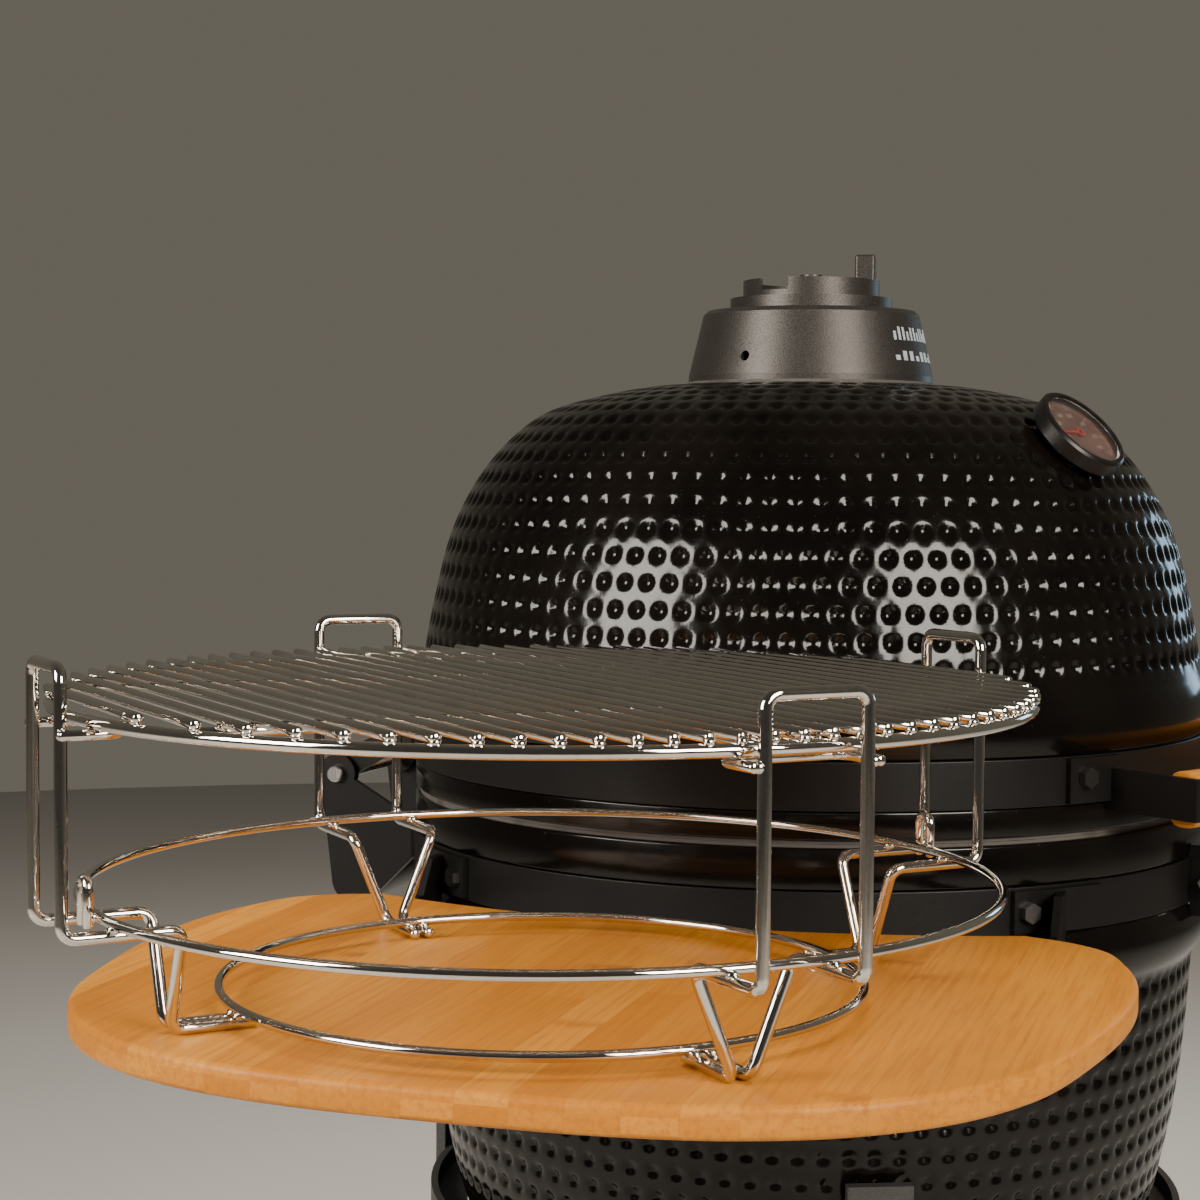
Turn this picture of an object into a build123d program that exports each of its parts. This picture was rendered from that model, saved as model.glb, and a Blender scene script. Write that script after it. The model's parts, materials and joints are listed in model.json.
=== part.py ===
"""A kamado ceramic grill on a four-wheeled cart, with side shelves and a wire cooking rack.

Frame: +Z up, origin on the floor under the grill's axis, front at -Y. The rack stands on the -X shelf.
All sizes are millimetres.
"""
import math
import os

from build123d import *

# ---------------------------------------------------------------- driving dimensions
# Ceramic shell
rim_r = 277.5            # outside radius at the two rims
wall = 25.0              # ceramic wall
seam_z = 798.0           # height of the join between base and lid
gasket_t = 2.0           # felt thickness, pressed
gasket_gap = 0.3         # gap left between the two felts
lip_h = 26.0             # smooth lip of the base above its band
lid_lip_h = 18.0         # smooth lip of the lid below its band
bowl_drop = 340.0        # from the underside of the lower band to the bowl's foot
crown_rise = 233.0       # from the top of the upper band to the crown
vent_r = 62.0            # hole in the crown of the lid

# Steel bands
band_h = 30.0
band_t = 2.9
band_seat = 2.0          # depth of the band's groove
fit_gap = 0.1            # clearance between pieces that are assembled and do not move

# Hinge
hinge_y = rim_r + 57.5   # pin axis behind the shell
pin_r = 6.0
run_gap = 0.05           # radial clearance of a running fit
cheek_t = 5.0
cheek_x = 62.5           # middle of each lower cheek
hinge_eye_r = 14.0
barrel_r = 19.0
barrel_y = rim_r + 42.5
barrel_z = seam_z - 77

# Handle
grip_r = rim_r + 56.5    # radius of the grip's curved centre line
grip_half_angle = 35.0
grip_h = 34.0
grip_t = 24.0
grip_z = seam_z + 27

# Vent tower
tower_r = 86.0
tower_top_r = 76.0
tower_h = 50.0
tower_wall = 4.0
step_r = 57.0
step_h = 9.0
cap_r = 48.0
cap_h = 12.2
cap_floor = 4.0
vent_hole_r = 11.0
vent_pitch_r = 29.0
vent_gasket_t = 2.0

# Thermometer
gauge_r = 33.0
gauge_h = 12.0
gauge_tilt = 43.8        # angle of its axis above the horizon
gauge_turn = 26.0        # how far it sits round from the front, towards the left shelf
gauge_out = rim_r - 63.2 # distance of its foot from the shell's axis
gauge_drop = 40.7        # how far its foot is below the crown
stem_r = 4.0
stem_len = 95.0

# Fire box and fire ring
box_floor_h = 100.0      # heights above the foot of the bowl
box_top_h = 240.0
ring_top_h = 322.0
box_r = rim_r - 65.5
box_wall = 22.0
skirt_r = 108.0
coal_grate_r = 116.0
coal_grate_t = 10.0

# Draft door
draft_w = 90.0
draft_h = 40.0
draft_h_mid = 45.0       # middle of the opening above the foot of the bowl
frame_t = 3.0
door_t = 2.0
slot_gap = 0.4
door_travel = 90.0

# Side shelves
shelf_top_z = seam_z - 38
shelf_t = 15.0
shelf_pivot_x = rim_r + 37.5
bracket_y = rim_r * 203 / 277.5
bracket_t = 5.0
arm_half_h = 7.5
shelf_pin_r = 3.0

# Cart
cart_z = 100.0           # underside of the cart ring
cart_t = 8.0
upright_x = rim_r - 11.5 # inner face of each upright
upright_w = 41.0
upright_t = 8.0
upright_top_h = 190.0    # above the foot of the bowl
upright_angle = 22.5     # of the two front uprights, from the shelf direction
cradle_h = 100.0         # above the foot of the bowl
cradle_gap = 1.0

# Casters
caster_r = rim_r - 27.5  # distance of each king pin from the axis
wheel_r = 35.0
wheel_w = 22.0
trail = 24.0
king_r = 6.0
axle_r = 4.0

# Wire rack, standing on the left shelf
rack_x = -rim_r - 262.5
rack_y = 14.0
base_ring_r = 159.0
mid_ring_r = 225.0
ring_wire = 5.0
frame_wire = 6.0
frame_r = 247.0          # radius of the upright loops
leg_r = 192.0            # radius of the feet
loop_w = 49.0
rack_h = 175.0
mid_ring_z = 58.0
grate_z = 149.0
hook_reach = 26.0
weld = 0.08              # depth to which crossing wires are fused

# Cooking grate
grate_ring_r = 238.0
grate_wire = 6.0
bar_wire = 5.0
bar_pitch = 14.2

os.makedirs("parts", exist_ok=True)


def keep(piece, name):
    """Label one finished piece and write it to its own file."""
    piece.part.label = name
    export_step(piece.part, f"parts/{name}.step")


# ---------------------------------------------------------------- values worked out once
base_rim_z = seam_z - gasket_gap / 2 - gasket_t
lid_rim_z = seam_z + gasket_gap / 2 + gasket_t
low_band_top = seam_z - lip_h - 2
low_band_bottom = low_band_top - band_h
low_band_mid = low_band_top - band_h / 2
up_band_bottom = seam_z + lid_lip_h + 2
up_band_top = up_band_bottom + band_h
up_band_mid = up_band_bottom + band_h / 2
foot_z = low_band_bottom - bowl_drop
crown_z = up_band_top + crown_rise
box_floor_z = foot_z + box_floor_h
box_top_z = foot_z + box_top_h
ring_top_z = foot_z + ring_top_h
draft_z = foot_z + draft_h_mid
cradle_z = foot_z + cradle_h
upright_top_z = foot_z + upright_top_h
groove_r = rim_r - band_seat
band_r = groove_r + fit_gap + band_t
inner_r = rim_r - wall


def inset(points, depth):
    """Move each point of a half profile inward, square to the line through its neighbours."""
    moved = []
    for i, (r, z) in enumerate(points):
        r0, z0 = points[max(i - 1, 0)]
        r1, z1 = points[min(i + 1, len(points) - 1)]
        dr = r1 - r0
        dz = z1 - z0
        size = math.hypot(dr, dz)
        moved.append((r - depth * abs(dz) / size, z + depth * dr * math.copysign(1, dz) / size))
    return moved


# ---------------------------------------------------------------- ceramic base
# Half profile of the dimpled part of the bowl, from its shoulder down to its foot.
drop = bowl_drop / 340
bowl_side = [
    (rim_r - 7.5, low_band_bottom - 41 * drop),
    (rim_r - 21.5, low_band_bottom - 172 * drop),
    (rim_r - 37.5, low_band_bottom - 234 * drop),
    (rim_r - 70.0, foot_z + 46 * drop),
    (rim_r - 122.0, foot_z + 5 * drop),
]
bowl_inside = inset(bowl_side, wall)
floor_z = foot_z + wall

with BuildPart() as base_bowl:
    with BuildSketch(Plane.XZ):
        with BuildLine():
            Polyline(
                (rim_r, base_rim_z),
                (rim_r, low_band_top),
                (groove_r, low_band_top),
                (groove_r, low_band_bottom),
                (rim_r - 1, low_band_bottom),
            )
            ThreePointArc(
                (rim_r - 1, low_band_bottom),
                (rim_r + 4, low_band_bottom - 16 * drop),
                (rim_r - 4.5, low_band_bottom - 38 * drop),
            )
            Line((rim_r - 4.5, low_band_bottom - 38 * drop), bowl_side[0])
            Spline(*bowl_side)
            Line(bowl_side[-1], (0, foot_z))
            Line((0, foot_z), (0, floor_z))
            Line((0, floor_z), (bowl_inside[-1][0], floor_z))
            Spline(
                (bowl_inside[-1][0], floor_z),
                *bowl_inside[-2::-1],
                tangents=[(1, 0), (0.05, 1)],
            )
            Polyline(bowl_inside[0], (inner_r, low_band_bottom), (inner_r, base_rim_z), (rim_r, base_rim_z))
        make_face()
    revolve(axis=Axis.Z)
    # The draft opening runs straight through the front wall.
    with Locations((0, -bowl_side[2][0] + 10, draft_z)):
        Box(
            draft_w + 2 * frame_t + 2 * slot_gap,
            6 * wall,
            draft_h + 2 * frame_t + 2 * slot_gap,
            mode=Mode.SUBTRACT,
        )
keep(base_bowl, "base_bowl")


def band(bottom_z):
    """A flat steel band round the shell, standing in its groove."""
    with BuildPart() as hoop:
        with BuildSketch(Plane.XZ):
            with Locations((groove_r + fit_gap + band_t / 2, bottom_z + band_h / 2)):
                Rectangle(band_t, band_h - 2 * fit_gap)
        revolve(axis=Axis.Z)
        fillet(hoop.edges().filter_by(GeomType.CIRCLE).group_by(SortBy.RADIUS)[-1], 0.8)
    return hoop


def felt(bottom_z):
    """A felt ring on a rim."""
    with BuildPart() as ring:
        with BuildSketch(Plane.XY.offset(bottom_z)):
            Circle(rim_r - 3)
            Circle(inner_r + 4, mode=Mode.SUBTRACT)
        extrude(amount=gasket_t)
    return ring


lower_band = band(low_band_bottom)
keep(lower_band, "lower_band")
base_gasket = felt(base_rim_z)
keep(base_gasket, "base_gasket")

# Clamp lugs at the front of the lower band, drawn together by one long bolt.
lug_apart = 118.8        # between the middles of the two lugs
lug_d = 14.0
lug_w = 10.0
lug_y = band_r + lug_d / 2 + 0.2
clamp_bolt_r = 3.0
lug_x = lug_apart / 2
lug_angle = math.degrees(math.asin(lug_x / lug_y))
lug_front = -lug_y * math.cos(math.radians(lug_angle))
bolt_y = lug_front - 3.0

with BuildPart() as band_lugs:
    for side in (-1, 1):
        spot = Plane.XY.rotated((0, 0, side * lug_angle)).offset(low_band_mid)
        with BuildSketch(spot.offset(-band_h * 0.78)):
            with Locations((0, -lug_y)):
                Rectangle(lug_w, lug_d)
        extrude(amount=band_h * 1.56)
    with BuildSketch(Plane.YZ.offset(-2 * lug_x)):
        with Locations((bolt_y, low_band_mid)):
            Circle(clamp_bolt_r + run_gap)
    extrude(amount=4 * lug_x, mode=Mode.SUBTRACT)
keep(band_lugs, "band_lugs")

with BuildPart() as band_clamp_bolt:
    with BuildSketch(Plane.YZ.offset(-lug_x - 10)):
        with Locations((bolt_y, low_band_mid)):
            Circle(clamp_bolt_r)
    extrude(amount=2 * lug_x + 20)
    for start, length in ((-lug_x - 14, 6), (lug_x + 8, 6)):
        with BuildSketch(Plane.YZ.offset(start)):
            with Locations((bolt_y, low_band_mid)):
                RegularPolygon(5.5, 6)
        extrude(amount=length)
keep(band_clamp_bolt, "band_clamp_bolt")

# ---------------------------------------------------------------- inside the base
with BuildPart() as fire_box:
    with BuildSketch(Plane.XZ):
        with BuildLine():
            Polyline(
                (skirt_r, floor_z),
                (skirt_r + box_wall, floor_z),
                (skirt_r + box_wall, box_floor_z - 14),
                (box_r - 12, box_floor_z + 60),
                (box_r, box_top_z),
                (box_r - box_wall, box_top_z),
                (box_r - box_wall - 14, box_floor_z + 64),
                (coal_grate_r + 6, box_floor_z),
                (coal_grate_r - 22, box_floor_z),
                (coal_grate_r - 22, box_floor_z - 16),
                (skirt_r, box_floor_z - 16),
                close=True,
            )
        make_face()
    revolve(axis=Axis.Z)
    # Air comes in under the grate from the draft opening.
    with Locations((0, -skirt_r, draft_z)):
        Box(draft_w, 3 * box_wall, draft_h, mode=Mode.SUBTRACT)
keep(fire_box, "fire_box")

with BuildPart() as fire_ring:
    with BuildSketch(Plane.XY.offset(box_top_z)):
        Circle(box_r)
        Circle(box_r - box_wall, mode=Mode.SUBTRACT)
    extrude(amount=ring_top_z - box_top_z)
    with BuildSketch(Plane.XY.offset(ring_top_z)):
        with PolarLocations(box_r - box_wall / 2, 4, start_angle=45):
            Rectangle(2 * box_wall, 30)
    extrude(amount=-18, mode=Mode.SUBTRACT)
keep(fire_ring, "fire_ring")

slot_rows = ((36, 6, 34), (78, 12, 40))
with BuildPart() as charcoal_grate:
    with BuildSketch(Plane.XY.offset(box_floor_z)):
        Circle(coal_grate_r)
        Circle(8, mode=Mode.SUBTRACT)
        for row_r, count, length in slot_rows:
            with PolarLocations(row_r, count):
                SlotOverall(length, 9, mode=Mode.SUBTRACT)
    extrude(amount=coal_grate_t)
keep(charcoal_grate, "charcoal_grate")

# ---------------------------------------------------------------- draft door
bowl_front = bowl_side[2][0]
plate_y = -bowl_front
rail_x0 = -draft_w / 2 - 12
rail_x1 = draft_w / 2 + door_travel + 12
rail_h = draft_h + 28
door_w = draft_w + 10
door_h = draft_h + 10
duct_len = 34.0

with BuildPart() as draft_frame:
    # Duct through the ceramic wall.
    with BuildSketch(Plane.XZ.offset(-plate_y)):
        with Locations((0, draft_z)):
            Rectangle(draft_w + 2 * frame_t, draft_h + 2 * frame_t)
            Rectangle(draft_w, draft_h, mode=Mode.SUBTRACT)
    extrude(amount=-duct_len)
    # Face plate with the air opening.
    with BuildSketch(Plane.XZ.offset(-plate_y)):
        with Locations(((rail_x0 + rail_x1) / 2, draft_z)):
            Rectangle(rail_x1 - rail_x0, rail_h)
        with Locations((0, draft_z)):
            Rectangle(draft_w, draft_h, mode=Mode.SUBTRACT)
    extrude(amount=frame_t)
    # Two channels that the door runs in.
    for side in (-1, 1):
        rail_z = draft_z + side * (door_h / 2 + slot_gap)
        with BuildSketch(Plane.YZ.offset(rail_x0)):
            with BuildLine():
                face = plate_y - frame_t
                depth = door_t + 2 * slot_gap
                Polyline(
                    (face, rail_z),
                    (face - depth, rail_z),
                    (face - depth, rail_z - side * 4),
                    (face - depth - 2, rail_z - side * 4),
                    (face - depth - 2, rail_z + side * 3),
                    (face, rail_z + side * 3),
                    close=True,
                )
            make_face()
        extrude(amount=rail_x1 - rail_x0)
keep(draft_frame, "draft_frame")

door_face = plate_y - frame_t - slot_gap
with BuildPart() as draft_door:
    with BuildSketch(Plane.XZ.offset(-door_face)):
        with Locations((0, draft_z)):
            Rectangle(door_w, door_h)
    extrude(amount=door_t)
    with BuildSketch(Plane.XZ.offset(-door_face + door_t)):
        with Locations((-door_w / 2 + 14, draft_z)):
            Circle(6)
    extrude(amount=16)
keep(draft_door, "draft_door")

with BuildPart() as draft_mesh:
    with BuildSketch(Plane.XZ.offset(-(plate_y + duct_len - 6))):
        with Locations((0, draft_z)):
            Rectangle(draft_w, draft_h)
            with GridLocations(9, 9, 9, 4):
                Rectangle(6.6, 6.6, mode=Mode.SUBTRACT)
    extrude(amount=-1.5)
keep(draft_mesh, "draft_mesh")

# ---------------------------------------------------------------- ceramic lid
# Half profile of the dimpled part of the dome, from its shoulder up to the crown.
rise = crown_rise / 233
dome_side = [
    (rim_r - 6.0, up_band_top + 44 * rise),
    (rim_r - 13.0, up_band_top + 84 * rise),
    (rim_r - 28.4, up_band_top + 139 * rise),
    (rim_r - 53.6, up_band_top + 181 * rise),
    (rim_r - 86.7, crown_z - 22.5 * rise),
    (rim_r - 130.4, crown_z - 8.0 * rise),
    (tower_r, crown_z),
]
dome_inside = inset(dome_side, wall)


def tilted(distance):
    """The plane square to the thermometer's axis, at a distance out from the ceramic."""
    tilt = math.radians(gauge_tilt)
    turn = math.radians(-90 - gauge_turn)
    level = Vector(math.cos(turn), math.sin(turn), 0)
    out = level * math.cos(tilt) + Vector(0, 0, math.sin(tilt))
    foot = level * gauge_out + Vector(0, 0, crown_z - gauge_drop)
    return Plane(origin=foot + out * distance, x_dir=(-level.Y, level.X, 0), z_dir=out)


with BuildPart() as lid_dome:
    with BuildSketch(Plane.XZ):
        with BuildLine():
            Polyline(
                (inner_r, lid_rim_z),
                (rim_r, lid_rim_z),
                (rim_r, up_band_bottom),
                (groove_r, up_band_bottom),
                (groove_r, up_band_top),
                (rim_r - 1, up_band_top),
            )
            ThreePointArc(
                (rim_r - 1, up_band_top),
                (rim_r + 1.5, up_band_top + 14 * rise),
                (rim_r - 3.5, up_band_top + 38 * rise),
            )
            Line((rim_r - 3.5, up_band_top + 38 * rise), dome_side[0])
            Spline(*dome_side, tangents=[(-0.12, 1), (-1, 0)])
            Polyline(dome_side[-1], (vent_r, crown_z), (vent_r, dome_inside[-1][1]), dome_inside[-1])
            Spline(*dome_inside[::-1], tangents=[(1, 0), (0.12, -1)])
            Polyline(dome_inside[0], (inner_r, up_band_top), (inner_r, lid_rim_z))
        make_face()
    revolve(axis=Axis.Z)
    with BuildSketch(tilted(20)):
        Circle(stem_r + 0.5)
    extrude(amount=-80, mode=Mode.SUBTRACT)
keep(lid_dome, "lid_dome")

upper_band = band(up_band_bottom)
keep(upper_band, "upper_band")
lid_gasket = felt(lid_rim_z - gasket_t)
keep(lid_gasket, "lid_gasket")

# ---------------------------------------------------------------- hinge
hinge_bolt_x = 43.57     # middle of each bolt in a back pad
pad_t = 4.0
pad_half_angle = 16.0
eye_x = cheek_x - cheek_t - slot_gap


def back_pad(mid_z, height):
    """A curved pad on a band at the back, added to the piece being built."""
    with BuildSketch(Plane.XZ.rotated((0, 0, 90 - pad_half_angle))) as section:
        with Locations((band_r + fit_gap + pad_t / 2, mid_z)):
            Rectangle(pad_t, height)
    revolve(section.sketch, axis=Axis.Z, revolution_arc=2 * pad_half_angle)


with BuildPart() as hinge_base:
    back_pad(low_band_mid, band_h - 4)
    for side in (-1, 1):
        with BuildSketch(Plane.YZ.offset(side * cheek_x - cheek_t / 2)):
            with BuildLine():
                Polyline(
                    (band_r - 7, low_band_mid + 10),
                    (hinge_y - hinge_eye_r + 1, seam_z - 4),
                    (hinge_y + hinge_eye_r - 0.5, seam_z),
                    (barrel_y + barrel_r, barrel_z),
                    (barrel_y, barrel_z - barrel_r),
                    (barrel_y - 14, barrel_z - 12),
                    (band_r - 7, low_band_mid - 12),
                    close=True,
                )
            make_face()
            with Locations((hinge_y, seam_z)):
                Circle(hinge_eye_r)
            with Locations((barrel_y, barrel_z)):
                Circle(barrel_r)
        extrude(amount=cheek_t)
    # Nothing of the bracket enters the band or the ceramic.
    with BuildSketch(Plane.XY.offset(barrel_z - 60)):
        Circle(band_r + fit_gap)
    extrude(amount=seam_z - barrel_z + 60, mode=Mode.SUBTRACT)
    with BuildSketch(Plane.XY.offset(barrel_z - 60)):
        Circle(rim_r + 5)
    extrude(amount=low_band_bottom - barrel_z + 60, mode=Mode.SUBTRACT)
    with BuildSketch(Plane.YZ.offset(-2 * cheek_x)):
        with Locations((hinge_y, seam_z)):
            Circle(pin_r)
    extrude(amount=4 * cheek_x, mode=Mode.SUBTRACT)
keep(hinge_base, "hinge_base")

with BuildPart() as hinge_pin:
    with BuildSketch(Plane.YZ.offset(-cheek_x - 8)):
        with Locations((hinge_y, seam_z)):
            Circle(pin_r)
    extrude(amount=2 * cheek_x + 16)
    chamfer(hinge_pin.edges().filter_by(GeomType.CIRCLE), 1)
keep(hinge_pin, "hinge_pin")

with BuildPart() as hinge_spring_barrel:
    with BuildSketch(Plane.YZ.offset(-cheek_x + cheek_t / 2)):
        with Locations((barrel_y, barrel_z)):
            Circle(barrel_r - 1)
    extrude(amount=2 * cheek_x - cheek_t)
keep(hinge_spring_barrel, "hinge_spring_barrel")

with BuildPart() as hinge_lid:
    back_pad(up_band_mid, band_h - 4)
    for side in (-1, 1):
        with BuildSketch(Plane.YZ.offset(side * eye_x - cheek_t / 2)):
            with BuildLine():
                Polyline(
                    (band_r - 8, up_band_top - 4),
                    (hinge_y + 4, seam_z + hinge_eye_r - 1),
                    (hinge_y - hinge_eye_r, seam_z),
                    (band_r + 6, up_band_bottom + 2),
                    (band_r - 8, up_band_bottom + 2),
                    close=True,
                )
            make_face()
            with Locations((hinge_y, seam_z)):
                Circle(hinge_eye_r - 1)
        extrude(amount=cheek_t)
    with BuildSketch(Plane.XY.offset(seam_z - 20)):
        Circle(band_r + fit_gap)
    extrude(amount=up_band_top - seam_z + 30, mode=Mode.SUBTRACT)
    with BuildSketch(Plane.YZ.offset(-2 * cheek_x)):
        with Locations((hinge_y, seam_z)):
            Circle(pin_r + run_gap)
    extrude(amount=4 * cheek_x, mode=Mode.SUBTRACT)
keep(hinge_lid, "hinge_lid")

# ---------------------------------------------------------------- handle
bracket_arm_t = 5.0
bracket_angle = grip_half_angle + math.degrees(bracket_arm_t / 2 / grip_r)
arm_r0 = band_r + fit_gap
arm_r1 = grip_r + grip_t / 2 + 2

with BuildPart() as handle_grip:
    start = Plane.XZ.rotated((0, 0, -90 - grip_half_angle))
    with BuildSketch(start):
        with Locations((grip_r, grip_z)):
            RectangleRounded(grip_t, grip_h, 10)
    revolve(axis=Axis.Z, revolution_arc=2 * grip_half_angle)
keep(handle_grip, "handle_grip")

with BuildPart() as handle_brackets:
    for side in (-1, 1):
        # A foot on the band.
        foot_angle = -90 + side * (bracket_angle + 3) - 4.5
        with BuildSketch(Plane.XZ.rotated((0, 0, foot_angle))):
            with Locations((arm_r0 + 2, up_band_mid)):
                Rectangle(4, band_h - 2)
        revolve(axis=Axis.Z, revolution_arc=9)
        # An arm that stands out and holds the end of the grip.
        with BuildSketch(Plane.XY.rotated((0, 0, -90 + side * bracket_angle)).offset(grip_z - 12)):
            with Locations(((arm_r0 + arm_r1) / 2, side * 0.15)):
                Rectangle(arm_r1 - arm_r0 - 0.5, bracket_arm_t - 0.3)
        extrude(amount=26)
keep(handle_brackets, "handle_brackets")

# ---------------------------------------------------------------- bolts of the two bands
head_r = 6.5
head_h = 5.0
hinge_bolt_angle = math.degrees(math.asin(hinge_bolt_x / band_r))


def bolt_head(angle, radius, z):
    """One hexagon head standing outward, added to the piece being built."""
    heading = math.radians(angle)
    out = Vector(math.cos(heading), math.sin(heading), 0)
    spot = Plane(origin=out * radius + Vector(0, 0, z), x_dir=(0, 0, 1), z_dir=out)
    with BuildSketch(spot) as hexagon:
        RegularPolygon(head_r, 6)
    extrude(hexagon.sketch, amount=head_h)


with BuildPart() as lid_bolts:
    for side in (-1, 1):
        bolt_head(-90 + side * (bracket_angle + 5), arm_r0 + 4.1, up_band_mid + 2)
        bolt_head(90 + side * hinge_bolt_angle, band_r + fit_gap + pad_t, up_band_mid)
keep(lid_bolts, "lid_bolts")

shelf_bolt_angle = 46.0
with BuildPart() as base_bolts:
    for side in (-1, 1):
        bolt_head(90 + side * hinge_bolt_angle, band_r + fit_gap + pad_t, low_band_mid)
        for centre in (0, 180):
            bolt_head(centre + side * (shelf_bolt_angle - 5), band_r + fit_gap + pad_t, low_band_mid)
keep(base_bolts, "base_bolts")

# ---------------------------------------------------------------- vent
tower_z = crown_z + vent_gasket_t
deck_z = tower_z + tower_h
cap_z = deck_z + step_h + gasket_gap

with BuildPart() as vent_gasket:
    with BuildSketch(Plane.XY.offset(crown_z)):
        Circle(tower_r + 1)
        Circle(vent_r + 4, mode=Mode.SUBTRACT)
    extrude(amount=vent_gasket_t)
keep(vent_gasket, "vent_gasket")

with BuildPart() as vent_tower:
    with BuildSketch(Plane.XZ):
        with BuildLine():
            Polyline(
                (vent_r + 6, tower_z),
                (tower_r, tower_z),
                (tower_r, tower_z + 4),
                (tower_top_r, deck_z - 3),
                (tower_top_r - 3, deck_z),
                (step_r, deck_z),
                (step_r, deck_z + step_h),
                (0, deck_z + step_h),
                (0, deck_z + step_h - tower_wall),
                (step_r - tower_wall, deck_z + step_h - tower_wall),
                (step_r - tower_wall, deck_z - tower_wall),
                (tower_top_r - tower_wall, deck_z - tower_wall),
                (tower_r - tower_wall - 2, tower_z + 6),
                (vent_r + 6, tower_z + 6),
                close=True,
            )
        make_face()
    revolve(axis=Axis.Z)
    # Air holes under the cap, and the small hole low on the side.
    with BuildSketch(Plane.XY.offset(deck_z)):
        with PolarLocations(vent_pitch_r, 4):
            Circle(vent_hole_r)
    extrude(amount=2 * step_h, mode=Mode.SUBTRACT)
    with BuildSketch(Plane.XZ.rotated((0, 0, -110)).offset(40)):
        with Locations((0, tower_z + 16)):
            Circle(3.5)
    extrude(amount=60, mode=Mode.SUBTRACT)
    # The king pin that the cap turns on.
    with BuildSketch(Plane.XY.offset(deck_z + step_h - tower_wall)):
        Circle(axle_r)
    extrude(amount=tower_wall + cap_h)
keep(vent_tower, "vent_tower")

tab_w = 21.0
with BuildPart() as vent_cap:
    with BuildSketch(Plane.XY.offset(cap_z)):
        Circle(cap_r)
        Circle(axle_r + run_gap, mode=Mode.SUBTRACT)
        with PolarLocations(vent_pitch_r, 4):
            Circle(vent_hole_r, mode=Mode.SUBTRACT)
    extrude(amount=cap_floor)
    with BuildSketch(Plane.XY.offset(cap_z + cap_floor)):
        Circle(cap_r)
        Circle(cap_r - 5, mode=Mode.SUBTRACT)
        # The rim is open over one stretch.
        with Locations((-cap_r, cap_r * 0.35)):
            Rectangle(30, 22, mode=Mode.SUBTRACT)
    extrude(amount=cap_h - cap_floor)
    # The square tab that the cap is turned by.
    with BuildSketch(Plane.XY.rotated((0, 0, -82)).offset(cap_z + cap_floor)):
        with Locations((cap_r - 10, 0)):
            RectangleRounded(14, tab_w, 2)
    extrude(amount=cap_h - cap_floor + 18)
    chamfer(vent_cap.faces().sort_by(Axis.Z)[-1].edges(), 1)
keep(vent_cap, "vent_cap")

with BuildPart() as vent_nut:
    with BuildSketch(Plane.XY.offset(cap_z + cap_floor + gasket_gap)):
        Circle(11)
        Circle(axle_r, mode=Mode.SUBTRACT)
    extrude(amount=6)
    with BuildSketch(Plane.XY.offset(deck_z + step_h + cap_h)):
        Circle(8)
    extrude(amount=5)
    with BuildSketch(Plane.XY.offset(cap_z + cap_floor + gasket_gap + 6)):
        Circle(8)
        Circle(axle_r, mode=Mode.SUBTRACT)
    extrude(until=Until.NEXT)
keep(vent_nut, "vent_nut")

# ---------------------------------------------------------------- thermometer
neck_h = 2.0
bezel_wall = 4.0
with BuildPart() as thermometer_stem:
    with BuildSketch(tilted(0.2)):
        Circle(13)
    extrude(amount=neck_h)
    with BuildSketch(tilted(0.3)):
        Circle(stem_r)
    extrude(amount=-stem_len)
keep(thermometer_stem, "thermometer_stem")

with BuildPart() as thermometer_bezel:
    with BuildSketch(tilted(neck_h + 0.2)):
        Circle(gauge_r)
    extrude(amount=gauge_h)
    with BuildSketch(tilted(neck_h + 0.2 + gauge_h)):
        Circle(gauge_r - bezel_wall)
    extrude(amount=-(gauge_h - 3), mode=Mode.SUBTRACT)
    outer = thermometer_bezel.edges().filter_by(GeomType.CIRCLE).group_by(SortBy.RADIUS)[-1]
    chamfer(outer, 1.5)
keep(thermometer_bezel, "thermometer_bezel")

dial_at = neck_h + 0.2 + 3
with BuildPart() as thermometer_dial:
    with BuildSketch(tilted(dial_at)):
        Circle(gauge_r - bezel_wall - fit_gap)
    extrude(amount=2)
    with BuildSketch(tilted(dial_at + 2)):
        Circle(1.5)
    extrude(amount=3)
keep(thermometer_dial, "thermometer_dial")

with BuildPart() as thermometer_needle:
    with BuildSketch(tilted(dial_at + 3)):
        Circle(4)
        with Locations((-9.5, 0)):
            Rectangle(27, 2)
        Circle(1.5 + run_gap, mode=Mode.SUBTRACT)
    extrude(amount=1)
keep(thermometer_needle, "thermometer_needle")

with BuildPart() as thermometer_lens:
    with BuildSketch(tilted(dial_at + 5.5)):
        Circle(gauge_r - bezel_wall - fit_gap)
    extrude(amount=2)
keep(thermometer_lens, "thermometer_lens")

# ---------------------------------------------------------------- side shelves
horn_x = rim_r + 31.5
horn_y = bracket_y - 8
cove_x = rim_r + 67.5
shelf_mid_x = rim_r + 172.5
shelf_reach = 275.0      # from the widest place to the outer end
shelf_back = 151.0       # from the widest place towards the grill
shelf_half_w = bracket_y + 57
outer_power = 2.8        # roundness of the outer corners
inner_power = 4.5        # roundness of the corners beside the grill


def superellipse(angle, half_x, half_y, power):
    """A point of a superellipse about the origin, by its parameter in degrees."""
    t = math.radians(angle)
    return (half_x * math.cos(t) ** (2 / power), half_y * math.sin(t) ** (2 / power))


def board_points():
    """Half of the board's outline, from the horn beside the grill round to the outer end."""
    horn_angle = math.degrees(math.asin((horn_y / shelf_half_w) ** (inner_power / 2)))
    points = [(horn_x, horn_y)]
    for angle in (horn_angle + 13, horn_angle + 28, 77):
        x, y = superellipse(angle, shelf_back, shelf_half_w, inner_power)
        points.append((shelf_mid_x - x, y))
    for angle in (76, 62, 48, 34, 20, 9, 2.5):
        x, y = superellipse(angle, shelf_reach, shelf_half_w, outer_power)
        points.append((shelf_mid_x + x, y))
    return points


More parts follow.
